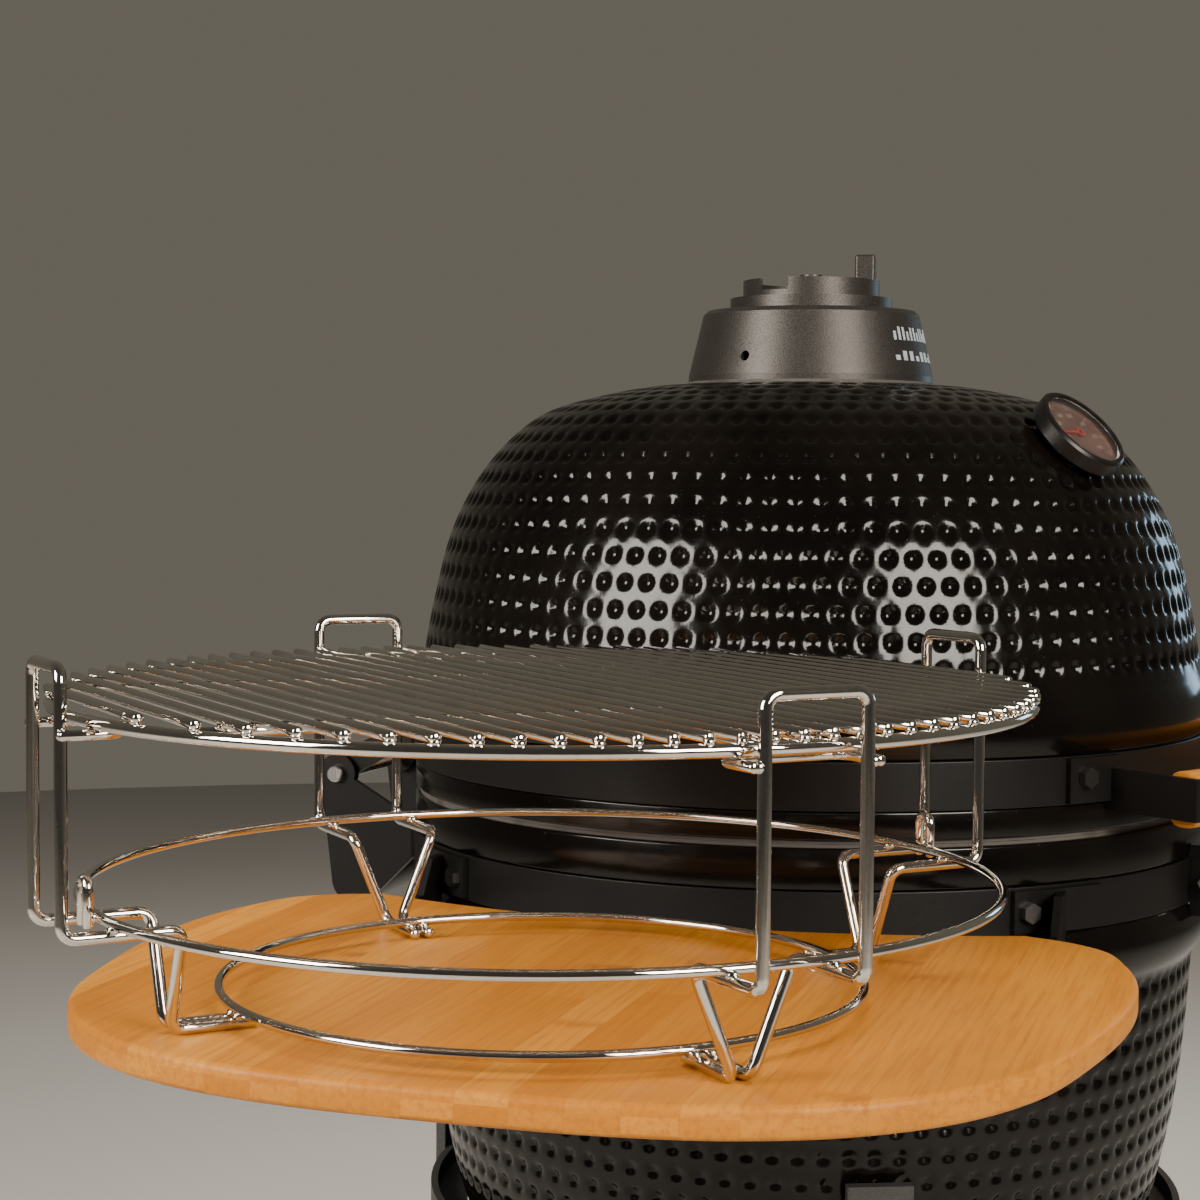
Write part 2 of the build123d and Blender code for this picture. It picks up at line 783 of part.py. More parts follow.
def shelf_outline(sign):
    """Half-moon board with a hollow inner edge, drawn for one side."""
    half = board_points()
    rim = [(sign * x, y) for x, y in half]
    rim.append((sign * (shelf_mid_x + shelf_reach), 0))
    rim += [(sign * x, -y) for x, y in half[::-1]]
    Spline(*rim)
    ThreePointArc(rim[-1], (sign * cove_x, 0), rim[0])


pivot_z = shelf_top_z - shelf_t - arm_half_h
arm_y = bracket_y - bracket_t - slot_gap
arm_end_x = shelf_mid_x + 150


def side_shelf(sign):
    """The bamboo board of one side."""
    with BuildPart() as board:
        with BuildSketch(Plane.XY.offset(shelf_top_z - shelf_t)):
            with BuildLine():
                shelf_outline(sign)
            make_face()
        extrude(amount=shelf_t)
    return board


def side_arms(sign):
    """Two steel bars under one board, each with the eye that it folds on."""
    with BuildPart() as arms:
        for side in (-1, 1):
            with BuildSketch(Plane.XZ.offset(-side * arm_y - bracket_t / 2)):
                with Locations((sign * shelf_pivot_x, pivot_z)):
                    Circle(arm_half_h)
                with Locations((sign * (shelf_pivot_x + arm_end_x) / 2, pivot_z)):
                    Rectangle(arm_end_x - shelf_pivot_x, 2 * arm_half_h)
                with Locations((sign * shelf_pivot_x, pivot_z)):
                    Circle(shelf_pin_r + run_gap, mode=Mode.SUBTRACT)
            extrude(amount=bracket_t)
    return arms


def side_brackets(sign):
    """Two fixed brackets on the lower band that carry one shelf."""
    with BuildPart() as brackets:
        for side in (-1, 1):
            middle = 90 - sign * 90 + sign * side * shelf_bolt_angle
            with BuildSketch(Plane.XZ.rotated((0, 0, middle - 7))):
                with Locations((band_r + fit_gap + pad_t / 2, low_band_mid)):
                    Rectangle(pad_t, band_h - 4)
            revolve(axis=Axis.Z, revolution_arc=14)
            with BuildSketch(Plane.XZ.offset(-side * bracket_y - bracket_t / 2)):
                with BuildLine():
                    Polyline(
                        (sign * (rim_r - 90), low_band_top - 4),
                        (sign * (rim_r - 62), low_band_top - 4),
                        (sign * (rim_r - 46), pivot_z + arm_half_h - 0.3),
                        (sign * shelf_pivot_x, pivot_z + arm_half_h - 0.3),
                        (sign * shelf_pivot_x, pivot_z - arm_half_h + 0.3),
                        (sign * (rim_r - 46), pivot_z - arm_half_h + 0.3),
                        (sign * (rim_r - 70), pivot_z - 20),
                        (sign * (rim_r - 90), pivot_z - 20),
                        close=True,
                    )
                make_face()
                with Locations((sign * shelf_pivot_x, pivot_z)):
                    Circle(arm_half_h - 0.3)
            extrude(amount=bracket_t)
        with BuildSketch(Plane.XY.offset(pivot_z - 60)):
            Circle(band_r + fit_gap)
        extrude(amount=120, mode=Mode.SUBTRACT)
        with BuildSketch(Plane.XY.offset(pivot_z - 60)):
            Circle(rim_r + 5)
        extrude(amount=low_band_bottom - pivot_z + 60, mode=Mode.SUBTRACT)
        with BuildSketch(Plane.XZ.offset(-2 * bracket_y)):
            with Locations((sign * shelf_pivot_x, pivot_z)):
                Circle(shelf_pin_r)
        extrude(amount=4 * bracket_y, mode=Mode.SUBTRACT)
    return brackets


for sign, hand in ((-1, "left"), (1, "right")):
    keep(side_shelf(sign), f"shelf_{hand}")
    keep(side_arms(sign), f"shelf_arms_{hand}")
    keep(side_brackets(sign), f"shelf_brackets_{hand}")

with BuildPart() as shelf_pins:
    pin_in = arm_y - bracket_t / 2 - 2
    pin_out = bracket_y + bracket_t / 2
    for sign in (-1, 1):
        for side in (-1, 1):
            with BuildSketch(Plane.XZ.offset(side * pin_in)):
                with Locations((sign * shelf_pivot_x, pivot_z)):
                    Circle(shelf_pin_r)
            extrude(amount=side * (pin_out - pin_in))
            with BuildSketch(Plane.XZ.offset(side * pin_out)):
                with Locations((sign * shelf_pivot_x, pivot_z)):
                    Circle(arm_half_h - 1.5)
            extrude(amount=side * 3)
keep(shelf_pins, "shelf_pins")

# ---------------------------------------------------------------- cart
cart_in_r = upright_x - 34
cart_out_r = upright_x + upright_t + 6
upright_angles = [180 + upright_angle, -upright_angle, 90]
caster_angles = [45, 135, 225, 315]

with BuildPart() as cart_ring:
    with BuildSketch(Plane.XY.offset(cart_z)):
        Circle(cart_out_r)
        Circle(cart_in_r, mode=Mode.SUBTRACT)
    extrude(amount=cart_t)
    chamfer(cart_ring.edges().filter_by(GeomType.CIRCLE), 0.8)
keep(cart_ring, "cart_ring")

with BuildPart() as cart_uprights:
    for angle in upright_angles:
        with BuildSketch(Plane.XY.rotated((0, 0, angle)).offset(cart_z + cart_t)):
            with Locations((upright_x + upright_t / 2, 0)):
                RectangleRounded(upright_t, upright_w, 1)
        extrude(amount=upright_top_z - cart_z - cart_t)
keep(cart_uprights, "cart_uprights")

with BuildPart() as cradle_ring:
    with BuildSketch(Plane.XZ):
        bowl_at_cradle = bowl_side[2][0] + (cradle_z + 3 - bowl_side[2][1]) * 0.35 + cradle_gap
        with BuildLine():
            Polyline(
                (bowl_at_cradle, cradle_z - 3),
                (upright_x - 5, cradle_z - 3),
                (upright_x - 5, cradle_z - 15),
                (upright_x - fit_gap, cradle_z - 15),
                (upright_x - fit_gap, cradle_z + 15),
                (upright_x - 5, cradle_z + 15),
                (upright_x - 5, cradle_z + 3),
                (bowl_at_cradle, cradle_z + 3),
                close=True,
            )
        make_face()
    revolve(axis=Axis.Z)
keep(cradle_ring, "cradle_ring")

with BuildPart() as cradle_base:
    with BuildSketch(Plane.XY.offset(foot_z - cart_t)):
        Circle(rim_r - 122)
        for angle in upright_angles:
            with Locations(Rot(0, 0, angle) * Pos((upright_x - fit_gap) / 2, 0)):
                Rectangle(upright_x - fit_gap, upright_w - 6)
    extrude(amount=cart_t)
keep(cradle_base, "cradle_base")

with BuildPart() as cart_bolts:
    for angle in upright_angles:
        bolt_head(angle, upright_x + upright_t, cradle_z)
        bolt_head(angle, upright_x + upright_t, foot_z - cart_t / 2)
keep(cart_bolts, "cart_bolts")

# ---------------------------------------------------------------- casters
plate_z = cart_z - 5
bearing_z = plate_z - 6
fork_top = bearing_z - gasket_gap
fork_t = 5.0
fork_gap = 1.0
fork_x = wheel_w / 2 + fork_gap + 1.5

with BuildPart() as caster_plates:
    for angle in caster_angles:
        spot = Plane.XY.rotated((0, 0, angle))
        with BuildSketch(spot.offset(plate_z)):
            with Locations((caster_r + 5, 0)):
                Rectangle(50, 56)
        extrude(amount=cart_z - plate_z)
        with BuildSketch(spot.offset(bearing_z)):
            with Locations((caster_r, 0)):
                Circle(17)
        extrude(amount=plate_z - bearing_z)
        with BuildSketch(spot.offset(fork_top - fork_t - 3)):
            with Locations((caster_r, 0)):
                Circle(king_r)
        extrude(amount=bearing_z - fork_top + fork_t + 3)
keep(caster_plates, "caster_plates")

for number, angle in enumerate(caster_angles, start=1):
    king_x = caster_r * math.cos(math.radians(angle))
    king_y = caster_r * math.sin(math.radians(angle))
    with BuildPart() as fork:
        with BuildSketch(Plane.XY.offset(fork_top - fork_t)):
            with Locations((king_x, king_y)):
                Circle(20)
                Circle(king_r + run_gap, mode=Mode.SUBTRACT)
        extrude(amount=fork_t)
        for side in (-1, 1):
            with BuildSketch(Plane.YZ.offset(king_x + side * fork_x - 1.5)):
                with BuildLine():
                    Polyline(
                        (king_y - 15, fork_top),
                        (king_y + 13, fork_top),
                        (king_y + 13, fork_top - 10),
                        (king_y + trail + 9, wheel_r - 3),
                        (king_y + trail - 9, wheel_r - 3),
                        (king_y - 15, fork_top - 14),
                        close=True,
                    )
                make_face()
                with Locations((king_y + trail, wheel_r)):
                    Circle(9.5)
            extrude(amount=3)
        with BuildSketch(Plane.YZ.offset(king_x - fork_x - 4)):
            with Locations((king_y + trail, wheel_r)):
                Circle(axle_r)
        extrude(amount=2 * fork_x + 8)
    keep(fork, f"caster_fork_{number}")

    with BuildPart() as wheel:
        with BuildSketch(Plane.YZ.offset(king_x - wheel_w / 2)):
            with Locations((king_y + trail, wheel_r)):
                Circle(wheel_r)
                Circle(axle_r + run_gap, mode=Mode.SUBTRACT)
        extrude(amount=wheel_w)
        rim = wheel.edges().filter_by(GeomType.CIRCLE).group_by(SortBy.RADIUS)[-1]
        fillet(rim, 4)
    keep(wheel, f"caster_wheel_{number}")

# ---------------------------------------------------------------- wire rack
frame_angles = [45, 135, 225, 315]
frame_low = mid_ring_z - ring_wire / 2 - frame_wire / 2 + weld
foot_ring_z = frame_wire + ring_wire / 2 - weld
grate_seat = grate_z - grate_wire / 2


def rack_plane(angle):
    """The plane on the shelf at the rack's centre, with its x axis towards one frame."""
    return Plane(origin=(rack_x, rack_y, shelf_top_z), x_dir=rotate_x(angle), z_dir=(0, 0, 1))


def rotate_x(angle):
    """The unit vector at an angle in the floor plane."""
    return (math.cos(math.radians(angle)), math.sin(math.radians(angle)), 0)


def wire_ring(radius, height, wire):
    """A closed ring of round wire at a height above the shelf."""
    with BuildPart() as ring:
        with BuildSketch(Plane((rack_x, rack_y, shelf_top_z), x_dir=(1, 0, 0), z_dir=(0, -1, 0))):
            with Locations((radius, height)):
                Circle(wire / 2)
        revolve(axis=Axis((rack_x, rack_y, 0), (0, 0, 1)))
    return ring


def bend(angle, points, radius, wire):
    """Round wire bent along points given as (outward, sideways, up), added to the piece being built."""
    place = rack_plane(angle)
    route = [place.from_local_coords(Vector(*p)) for p in points]
    with BuildLine() as path:
        FilletPolyline(*route, radius=radius)
    with BuildSketch(Plane(origin=path.line @ 0, z_dir=path.line % 0)) as section:
        Circle(wire / 2)
    sweep(section.sketch, path=path.line)


rack_base_ring = wire_ring(base_ring_r, foot_ring_z, ring_wire)
keep(rack_base_ring, "rack_base_ring")
rack_mid_ring = wire_ring(mid_ring_r, mid_ring_z, ring_wire)
keep(rack_mid_ring, "rack_mid_ring")

half_w = loop_w / 2
toe = 4.2
top_z = rack_h - frame_wire / 2
frame_route = [
    (base_ring_r - 9, -toe, frame_wire / 2),
    (leg_r, -toe, frame_wire / 2),
    (leg_r, -half_w, frame_low),
    (frame_r, -half_w, frame_low),
    (frame_r, -half_w, top_z),
    (frame_r, half_w, top_z),
    (frame_r, half_w, frame_low),
    (leg_r, half_w, frame_low),
    (leg_r, toe, frame_wire / 2),
    (base_ring_r - 9, toe, frame_wire / 2),
]
with BuildPart() as rack_frames:
    for angle in frame_angles:
        bend(angle, frame_route, 6.5, frame_wire)
keep(rack_frames, "rack_frames")

hook_z = grate_seat - ring_wire / 2 - gasket_gap
hook_side = half_w + frame_wire / 2 + ring_wire / 2 - weld
hook_route = [
    (frame_r + 2, -hook_side, hook_z),
    (frame_r - hook_reach, -hook_side, hook_z),
    (frame_r - hook_reach, hook_side, hook_z),
    (frame_r + 2, hook_side, hook_z),
]
with BuildPart() as rack_hooks:
    for angle in frame_angles:
        bend(angle, hook_route, 8, ring_wire)
keep(rack_hooks, "rack_hooks")

post_r = mid_ring_r + ring_wire - weld
post_half = 5.0
post_angles = (135, 315)
post_route = [
    (post_r, -post_half, mid_ring_z - 5),
    (post_r, -post_half, mid_ring_z + 17),
    (post_r, post_half, mid_ring_z + 17),
    (post_r, post_half, mid_ring_z - 5),
]
with BuildPart() as rack_posts:
    for angle in post_angles:
        bend(angle, post_route, 4.5, ring_wire)
keep(rack_posts, "rack_posts")

# ---------------------------------------------------------------- cooking grate
grate_ring = wire_ring(grate_ring_r, grate_z, grate_wire)
keep(grate_ring, "grate_ring")

bar_z = grate_z + grate_wire / 2 + bar_wire / 2 - weld
bar_angle = 45.0
bar_count = 2 * int((grate_ring_r - 6) / bar_pitch) + 1
bar_reach = grate_ring_r + 1.5
with BuildPart() as grate_bars:
    for i in range(bar_count):
        offset = (i - (bar_count - 1) / 2) * bar_pitch
        half = math.sqrt(bar_reach ** 2 - offset ** 2)
        place = rack_plane(bar_angle)
        start = place.from_local_coords(Vector(-half, offset, bar_z))
        with BuildSketch(Plane(origin=start, z_dir=rotate_x(bar_angle))):
            Circle(bar_wire / 2)
        extrude(amount=2 * half)
keep(grate_bars, "grate_bars")

cross_z = bar_z - bar_wire + weld
cross_at = 96.0
grip_half = 17.0
with BuildPart() as grate_cross_wires:
    for side in (-1, 1):
        # A wire across the bars, from ring to ring.
        half = math.sqrt((grate_ring_r - grate_wire / 2) ** 2 - cross_at ** 2) - bar_wire / 2
        place = rack_plane(bar_angle)
        start = place.from_local_coords(Vector(side * cross_at, -half, cross_z))
        with BuildSketch(Plane(origin=start, z_dir=rotate_x(bar_angle + 90))):
            Circle(bar_wire / 2)
        extrude(amount=2 * half)
        # A hairpin to lift the grate by.
        bend(
            bar_angle + 90 - side * 90,
            [
                (cross_at + bar_wire - weld, -grip_half, cross_z),
                (grate_ring_r - 9, -grip_half, cross_z),
                (grate_ring_r - 9, grip_half, cross_z),
                (cross_at + bar_wire - weld, grip_half, cross_z),
            ],
            12,
            bar_wire,
        )
keep(grate_cross_wires, "grate_cross_wires")
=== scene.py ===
# %% [markdown]
# # A kamado ceramic grill, its side shelves and its wire rack
# The grill is an egg of thick glazed clay in two halves, held by steel bands. The engineering model of it
# is already packed, with every moving piece named. This notebook loads that model as a frame that never
# moves, and builds the finished surfaces round it: dimpled glaze, laminated bamboo and polished wire.
# Lengths are worked out in millimetres and become metres only when a mesh is made.

# %% Load the frame
import json
import math

import bmesh
import bpy
import numpy as np
from mathutils import Matrix, Vector


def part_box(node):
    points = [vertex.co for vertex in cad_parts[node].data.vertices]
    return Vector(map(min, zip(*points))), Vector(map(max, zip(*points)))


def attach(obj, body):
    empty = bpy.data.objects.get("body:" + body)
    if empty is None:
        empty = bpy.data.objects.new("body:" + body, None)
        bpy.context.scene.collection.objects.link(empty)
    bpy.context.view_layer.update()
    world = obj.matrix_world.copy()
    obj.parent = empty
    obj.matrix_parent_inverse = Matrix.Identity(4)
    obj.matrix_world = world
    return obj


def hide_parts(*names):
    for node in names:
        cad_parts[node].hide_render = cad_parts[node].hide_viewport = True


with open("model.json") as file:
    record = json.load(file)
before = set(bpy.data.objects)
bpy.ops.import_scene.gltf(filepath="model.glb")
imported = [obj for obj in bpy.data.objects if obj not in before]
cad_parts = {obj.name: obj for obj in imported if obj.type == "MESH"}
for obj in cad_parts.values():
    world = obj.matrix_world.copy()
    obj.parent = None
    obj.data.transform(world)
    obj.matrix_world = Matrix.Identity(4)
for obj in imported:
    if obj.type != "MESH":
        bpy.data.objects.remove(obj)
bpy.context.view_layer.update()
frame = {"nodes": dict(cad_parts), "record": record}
nodes = frame["nodes"]
MM = 0.001

# %% [markdown]
# ## Ways of making a surface
# Most pieces of a grill are turned, bent or pressed, so each is a shape of two parameters. A turned piece
# is a stack of rings, a bent wire is a circle carried along a path. Each helper below works out all of its
# points at once as an array. A shape is kept as a list of parts, each with its points, faces and finish.

# %% Faces between rings
def band_faces(n, m):
    """Faces between a ring of n points and the ring of m points after it, both from angle 0 round.

    Equal rings are joined by quads. Unequal rings are zipped: each edge of one ring makes a triangle
    with the last point of the other ring that is not past the edge's end.
    """
    a = np.arange(n)
    if n == m:
        b = (a + 1) % n
        return [np.stack([a, b, b + n, a + n], 1)]
    ends_a = (a + 1) / n
    c = np.arange(m)
    ends_c = (c + 1) / m
    on_c = np.searchsorted(ends_c, ends_a, side="right")
    on_a = np.searchsorted(ends_a, ends_c, side="left")
    low = np.stack([a, (a + 1) % n, n + on_c % m], 1)
    high = np.stack([on_a % n, n + (c + 1) % m, n + c], 1)
    return [low, high]


def ring(r, z, count, turn=0.0):
    """Points (r cos a, r sin a, z), with a going once round from the angle turn in equal steps."""
    a = turn + 2 * math.pi * np.arange(count) / count
    return np.stack([r * np.cos(a), r * np.sin(a), z + 0 * a], 1)


def stack(rings, closed=False, finish=None):
    """Join rings in order into one skin. A ring of one point is a pole, and closed joins last to first.

    Going up an outer wall the rings' faces point outward, so a closed profile runs counterclockwise.
    """
    sizes = [len(r) for r in rings]
    starts = np.r_[0, np.cumsum(sizes)]
    pairs = [(i, i + 1) for i in range(len(rings) - 1)]
    pairs += [(len(rings) - 1, 0)] if closed else []
    faces = []
    kinds = []
    for i, j in pairs:
        n, m = sizes[i], sizes[j]
        if n == 1 or m == 1:
            k = np.arange(max(n, m))
            turn = (k + 1) % max(n, m)
            new = [np.stack([k * 0, n + turn, n + k], 1) if n == 1 else np.stack([k, turn, k * 0 + n], 1)]
        else:
            new = band_faces(n, m)
        for block in new:
            faces.append(np.where(block < n, block + starts[i], block - n + starts[j]))
            kinds.append(np.full(len(block), 0 if finish is None else finish[i]))
    return [(np.concatenate(rings), faces, kinds)]


# %% Meshes from parts
BLOCK_SIDES = np.array([[0, 1, 3, 2], [4, 6, 7, 5], [0, 4, 5, 1], [2, 3, 7, 6], [0, 2, 6, 4], [1, 5, 7, 3]])


def mesh_piece(name, parts, uv=None, smooth=True):
    """One object at the origin from a list of parts, whose points are in millimetres."""
    points = np.concatenate([p[0] for p in parts]) * MM
    shift = np.r_[0, np.cumsum([len(p[0]) for p in parts])]
    faces = [f + shift[i] for i, p in enumerate(parts) for f in p[1]]
    kinds = np.concatenate([k for p in parts for k in p[2]])
    mesh = bpy.data.meshes.new(name)
    mesh.from_pydata(points.tolist(), [], [row for f in faces for row in f.tolist()])
    mesh.polygons.foreach_set("material_index", kinds.astype(np.int32))
    mesh.polygons.foreach_set("use_smooth", np.full(len(mesh.polygons), smooth))
    if uv is not None:
        corner = np.empty(len(mesh.loops), np.int32)
        mesh.loops.foreach_get("vertex_index", corner)
        layer = mesh.uv_layers.new(name="lay")
        layer.data.foreach_set("uv", (uv[corner] * MM).ravel())
    mesh.update()
    piece = bpy.data.objects.new(name, mesh)
    bpy.context.scene.collection.objects.link(piece)
    return piece


def place(piece, body, slot, finishes, *stands_for):
    """Finish a piece: its materials, the body that it moves with and the nodes that it stands for."""
    for finish in finishes:
        piece.data.materials.append(finish)
    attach(piece, body)
    if stands_for:
        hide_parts(*stands_for)
    size = np.array(piece.dimensions) / MM
    print(f"{piece.name}: {len(piece.data.polygons)} faces, {size.round(1)} mm")
    return piece


# %% Curves
def unit(v):
    """Each row divided by its own length."""
    return v / np.linalg.norm(v, axis=-1, keepdims=True)


def curve_through(knots, first, last, count):
    """Smooth curve through knots. Between two knots it is the cubic p(2t3-3t2+1) + q(3t2-2t3) plus the
    end slopes times (t3-2t2+t) and (t3-t2), the slopes being taken from the neighbouring knots."""
    p = np.array(knots, float)
    span = np.linalg.norm(np.diff(p, axis=0), axis=1)
    s = np.r_[0, np.cumsum(span)]
    slope = np.gradient(p, s, axis=0)
    slope[0], slope[-1] = unit(np.array(first, float)), unit(np.array(last, float))
    at = np.linspace(0, s[-1], count)
    i = np.clip(np.searchsorted(s, at, side="right") - 1, 0, len(p) - 2)
    h = span[i][:, None]
    t = (at - s[i])[:, None] / h
    ends = p[i] * (2 * t**3 - 3 * t**2 + 1) + p[i + 1] * (3 * t**2 - 2 * t**3)
    return ends + h * (slope[i] * (t**3 - 2 * t**2 + t) + slope[i + 1] * (t**3 - t**2))


def arc3(a, b, c, count):
    """The circular arc from a through b to c in a plane: its centre is where the bisectors meet."""
    a, b, c = (np.array(p, float) for p in (a, b, c))
    rows = 2 * np.stack([b - a, c - a])
    centre = np.linalg.solve(rows, [b @ b - a @ a, c @ c - a @ a])
    turn = [math.atan2(*(p - centre)[::-1]) for p in (a, b, c)]
    turn = np.unwrap(turn)
    t = np.linspace(turn[0], turn[2], count)
    return centre + np.hypot(*(a - centre)) * np.stack([np.cos(t), np.sin(t)], 1)


def rounded(corners, radius, steps=7, closed=False):
    """A path with each corner replaced by the arc of that radius that touches both of its sides."""
    p = np.array(corners, float)
    before = np.roll(p, 1, 0) if closed else p[:-2]
    here = p if closed else p[1:-1]
    after = np.roll(p, -1, 0) if closed else p[2:]
    back, on = unit(before - here), unit(after - here)
    half = np.arccos(np.clip((back * on).sum(1), -1, 1)) / 2
    middle = here + unit(back + on) * (radius / np.sin(half))[:, None]
    out = unit(here - middle)
    side = unit(on - back)
    swing = np.linspace(-1, 1, steps)[None, :] * (math.pi / 2 - half)[:, None]
    bend = middle[:, None] + radius * (
        np.cos(swing)[..., None] * out[:, None] + np.sin(swing)[..., None] * side[:, None]
    )
    bend = bend.reshape(-1, p.shape[1])
    return bend if closed else np.concatenate([p[:1], bend, p[-1:]])


def tube(path, radius, sides=14, closed=False, lean=(0.53, 0.31, -0.79)):
    """A circle carried along a path. At each point one radius is square to the path and to the vector
    lean, and the other is square to that one and the path. Open ends are rounded over and closed."""
    path = np.array(path, float)
    if closed:
        along = unit(np.roll(path, -1, 0) - np.roll(path, 1, 0))
    else:
        along = unit(np.gradient(path, axis=0))
    across = unit(np.cross(along, np.array(lean)))
    up = np.cross(along, across)
    a = 2 * math.pi * np.arange(sides) / sides
    wheel = np.cos(a)[None, :, None] * across[:, None] + np.sin(a)[None, :, None] * up[:, None]
    rings = list(path[:, None] + radius * wheel)
    if closed:
        return stack(rings, closed=True)
    nose = ((0.0, 0.72), (0.28, 0.96))
    first = [path[0] + radius * (k * wheel[0] + d * along[0]) for d, k in nose]
    last = [path[-1] + radius * (k * wheel[-1] - d * along[-1]) for d, k in nose[::-1]]
    return stack([path[:1], *first, *rings[1:-1], *last, path[-1:]])


# %% [markdown]
# ## Shader maths as plain expressions
# A finish is a small network of nodes. Written out node by node it is hard to read, so one class wraps a
# socket: adding or multiplying two of them adds the Math node that does it. Colours go through Mix.

# %% The socket and finish classes
class Val:
    """One value of a finish, made by a node. Its operators add Math nodes."""

    def __init__(self, finish, socket):
        self.finish = finish
        self.socket = socket

    def math(self, how, *others, clamp=False):
        """The Math node for an operation, on this value and the others."""
        values = dict(enumerate((self, *others)))
        return self.finish.node("ShaderNodeMath", {"operation": how, "use_clamp": clamp}, values)

    def __add__(self, other):
        return self.math("ADD", other)

    def __sub__(self, other):
        return self.math("SUBTRACT", other)

    def __mul__(self, other):
        return self.math("MULTIPLY", other)

    def __rsub__(self, other):
        return self.finish.node("ShaderNodeMath", {"operation": "SUBTRACT"}, {0: other, 1: self})

    __radd__ = __add__
    __rmul__ = __mul__

    def over(self, low, high):
        """0 below low, 1 above high, and smooth between."""
        settings = {"interpolation_type": "SMOOTHSTEP"}
        return self.finish.node("ShaderNodeMapRange", settings, {0: self, 1: low, 2: high})


class Finish:
    """A material with one Principled shader, and the method that adds every other node."""

    def __init__(self, name, **steady):
        self.material = bpy.data.materials.new(name)
        self.material.use_nodes = True
        self.tree = self.material.node_tree
        self.shader = self.tree.nodes["Principled BSDF"]
        for socket, value in steady.items():
            self.shader.inputs[socket.replace("_", " ")].default_value = value
        self.place = self.node("ShaderNodeTexCoord", out="Object")

    def node(self, kind, settings=None, values=None, out=0):
        """Add a node: settings first, then the values and links of its sockets."""
        node = self.tree.nodes.new(kind)
        for key, value in (settings or {}).items():
            if key == "stops":
                self.stops(node.color_ramp, value)
            else:
                setattr(node, key, value)
        for key, value in (values or {}).items():
            if isinstance(value, Val):
                self.tree.links.new(value.socket, node.inputs[key])
            else:
                node.inputs[key].default_value = value
        return Val(self, node.outputs[out])

    def stops(self, ramp, stops):
        """Set a ramp's stops, given as (position, colour)."""
        while len(ramp.elements) < len(stops):
            ramp.elements.new(0.5)
        for element, (position, colour) in zip(ramp.elements, stops):
            element.position = position
            element.color = (*colour, 1)

    def scaled(self, size, base=None):
        """The place on the piece, stretched by three factors."""
        return self.node("ShaderNodeMapping", None, {0: base or self.place, 3: size})

    def noise(self, scale, detail=2.0, base=None, rough=0.5):
        """Noise of about 1/scale metres, from 0 to 1."""
        values = {"Vector": base or self.place, "Scale": scale, "Detail": detail, "Roughness": rough}
        return self.node("ShaderNodeTexNoise", None, values)

    def mix(self, mask, a, b, how="MIX"):
        """Colour a where mask is 0 and colour b where it is 1."""
        a, b = ((*c, 1) if isinstance(c, tuple) else c for c in (a, b))
        settings = {"data_type": "RGBA", "blend_type": how}
        return self.node("ShaderNodeMix", settings, {0: mask, 6: a, 7: b}, out=2)

    def wear(self, colour=None, roughness=None, height=None, depth=0.0002, strength=1.0, **more):
        """Link what varies to the shader. Height is in units of depth, in metres."""
        if height is not None:
            values = {"Height": height, "Distance": depth, "Strength": strength}
            more["Normal"] = self.node("ShaderNodeBump", None, values)
        for socket, value in {"Base_Color": colour, "Roughness": roughness, **more}.items():
            if value is not None:
                self.tree.links.new(value.socket, self.shader.inputs[socket.replace("_", " ")])
        return self.material


# %% [markdown]
# ## Glaze and clay
# The shell is fired clay under a black-brown glaze. A glaze is glass: it is smooth enough to mirror the
# lamps, but it pools and thins, so it shows a faint orange peel and tiny pits. Inside, the clay is bare,
# buff and chalky, with smoke stains. The pattern is read from the piece's own place, so it never slides.

# %% Glaze and clay finishes
def glaze():
    """Near-black glass with slow changes of tone, orange peel and a few pits."""
    f = Finish("black_glaze", Specular_IOR_Level=0.28)
    slow, peel, grain = f.noise(9, 3), f.noise(170, 2), f.noise(900, 1)
    tone = f.mix(slow.over(0.35, 0.7), (0.0016, 0.0012, 0.0009), (0.0046, 0.0034, 0.0026))
    tone = f.mix(grain.over(0.68, 0.8) * 0.5, tone, (0.014, 0.011, 0.008))
    rough = slow * 0.07 + peel * 0.06 + 0.085
    pits = grain.over(0.72, 0.80)
    return f.wear(tone, rough, peel * 0.5 - pits * 0.35, 0.00022, 0.55)


def clay(name="fired_clay"):
    """Buff fired clay with grog, dusty and smoke stained."""
    f = Finish(name, Specular_IOR_Level=0.25)
    slow, grog, fine = f.noise(7, 4), f.noise(260, 3), f.noise(1200, 2)
    tone = f.mix(slow.over(0.3, 0.75), (0.44, 0.33, 0.23), (0.30, 0.22, 0.16))
    tone = f.mix(grog.over(0.58, 0.72) * 0.6, tone, (0.19, 0.13, 0.09))
    return f.wear(tone, slow * 0.15 + 0.78, grog * 0.6 + fine * 0.3, 0.0006, 0.7)


GLAZE, CLAY = glaze(), clay()
print("glaze and clay ready")

# %% [markdown]
# ## Felt, steel and cast metal
# The rims meet on pressed felt. The bands and the hinge are mild steel under satin black powder coat; the
# cart is the same in dark grey. The vent is cast, so its skin has a fine sandy grain. Bolts are zinc
# plated. Wear shows as paler rubbed patches, so a mask of noise brightens colour and roughness together.

# %% Felt
def felt():
    """Grey felt: matted fibres laid round the rim, pressed flat, with scorched spots."""
    f = Finish("felt", Specular_IOR_Level=0.15)
    fibre = f.noise(700, 4, f.scaled((1, 1, 6)), 0.7)
    slow = f.noise(22, 2)
    tone = f.mix(fibre, (0.045, 0.041, 0.038), (0.17, 0.155, 0.14))
    tone = f.mix(slow.over(0.55, 0.75) * 0.6, tone, (0.03, 0.024, 0.018))
    return f.wear(tone, fibre * 0.1 + 0.86, fibre, 0.0007, 0.9)


